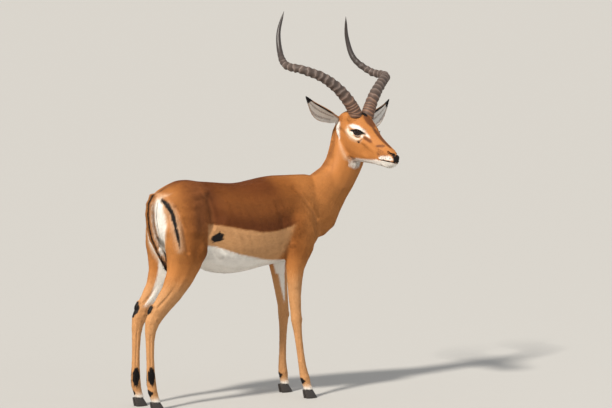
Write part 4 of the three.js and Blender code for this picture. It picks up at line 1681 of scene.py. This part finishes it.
def eye_material():
    made, nodes, shade = new_material("eye")
    colour = nodes.blend(nodes.noise(nodes.object_place(), 900.0, 2.0), IRIS_DARK, IRIS_BROWN)
    colour = nodes.blend(nodes.between(nodes.value_of("off_gaze"), *IRIS_EDGE), colour, IRIS_RIM)
    across = nodes.math("DIVIDE", nodes.value_of("ahead"), PUPIL_LENGTH)
    tall = nodes.math("DIVIDE", nodes.value_of("above"), PUPIL_HEIGHT)
    inside = nodes.math("MULTIPLY", tall, tall)
    inside = nodes.math("ADD", nodes.math("MULTIPLY", across, across), inside)
    colour = nodes.blend(nodes.between(inside, 1.1, 0.9), colour, PUPIL)
    nodes.join(colour, shade.inputs["Base Color"])
    shade.inputs["Roughness"].default_value = 0.08
    shade.inputs["Specular IOR Level"].default_value = 0.3
    shade.inputs["Coat Weight"].default_value = 0.15
    shade.inputs["Coat Roughness"].default_value = 0.03
    return made


EYE = eye_material()
for place_name, way in SIDES:
    ball = eyeball("eyeball_" + place_name, way)
    ball.data.materials.append(EYE)
    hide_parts("eye_" + place_name)
    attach(ball, "root")


# ---- hooves ----

HOOF_ROUNDING = 1.4


def hoof(node):
    """A claw's own shape with its edges rounded."""
    piece = merged_copy(node, node.replace("claw", "hoof"))
    apply_modifier(piece, "BEVEL", width=HOOF_ROUNDING * MM, segments=3, limit_method="ANGLE",
                   angle_limit=math.radians(24))
    pick(piece)
    bpy.ops.object.shade_smooth_by_angle(angle=math.radians(40))
    return piece


def hoof_material():
    made, nodes, shade = new_material("hoof")
    rings = nodes.noise(nodes.placed(nodes.object_place(), (20, 20, 520)), 1.0, 2.0)
    nodes.join(nodes.blend(rings, HOOF_DARK, HOOF_PALE), shade.inputs["Base Color"])
    shade.inputs["Roughness"].default_value = 0.5
    nodes.bump(rings, 0.3, 0.0006, shade)
    return made


HOOF = hoof_material()
for claw in [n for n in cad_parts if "claw" in n]:
    piece = hoof(claw)
    piece.data.materials.append(HOOF)
    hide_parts(claw)
    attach(piece, "root")


# ---- camera, light and floor ----

CAMERA_AZIMUTH = math.radians(-33)
CAMERA_HEIGHT = math.radians(5.5)
CAMERA_DISTANCE = 17.0
CAMERA_LENS = 260.0
LOOK_AT = Vector((0.1628, 0.0050, 0.738))
SUN_ENERGY = 4.3
SUN_COLOUR = (1.0, 0.94, 0.85)
FILL_ENERGY = 30
FILL_COLOUR = (0.86, 0.92, 1.0)
SKY_STRENGTH = 0.66
FLOOR_SIZE = 400


def camera_axes():
    a, e = CAMERA_AZIMUTH, CAMERA_HEIGHT
    back = Vector((math.sin(a) * math.cos(e), -math.cos(a) * math.cos(e), math.sin(e)))
    right = Vector((math.cos(a), math.sin(a), 0))
    return back, right, back.cross(right)


def set_camera():
    back, right, up = camera_axes()
    data = bpy.data.cameras.new("view")
    data.lens = CAMERA_LENS
    data.sensor_width = 36.0
    data.clip_end = 500.0
    camera = bpy.data.objects.new("view", data)
    bpy.context.scene.collection.objects.link(camera)
    turn = Matrix((right, up, back)).transposed().to_4x4()
    camera.matrix_world = Matrix.Translation(LOOK_AT + back * CAMERA_DISTANCE) @ turn
    bpy.context.scene.camera = camera


def lamp(name, kind, towards, place, **values):
    data = bpy.data.lights.new(name, kind)
    for key, value in values.items():
        setattr(data, key, value)
    made = bpy.data.objects.new(name, data)
    bpy.context.scene.collection.objects.link(made)
    made.location = place
    made.rotation_euler = (towards - place).to_track_quat("-Z", "Y").to_euler()


def set_light():
    back, right, up = camera_axes()
    lamp("key", "SUN", LOOK_AT, LOOK_AT - right * 1.9 + back * 3.3 + up * 3.1,
         angle=math.radians(6), energy=SUN_ENERGY, color=SUN_COLOUR)
    lamp("fill", "AREA", LOOK_AT, LOOK_AT + right * 4.5 + back * 3.5 + up * 1.5,
         size=3.5, energy=FILL_ENERGY, color=FILL_COLOUR)
    world = bpy.data.worlds.new("studio")
    world.use_nodes = True
    shade = world.node_tree.nodes["Background"]
    shade.inputs["Color"].default_value = SKY
    shade.inputs["Strength"].default_value = SKY_STRENGTH
    bpy.context.scene.world = world


def set_floor():
    deselect()
    bpy.ops.mesh.primitive_plane_add(size=FLOOR_SIZE, location=(0, 0, 0))
    floor = bpy.context.active_object
    floor.name = "floor"
    made, _, shade = new_material("floor")
    shade.inputs["Base Color"].default_value = FLOOR
    shade.inputs["Roughness"].default_value = 0.9
    floor.data.materials.append(made)


set_camera()
set_light()
set_floor()
bpy.context.scene.view_settings.view_transform = "Standard"

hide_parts(*FLESH)
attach(skin, "root")
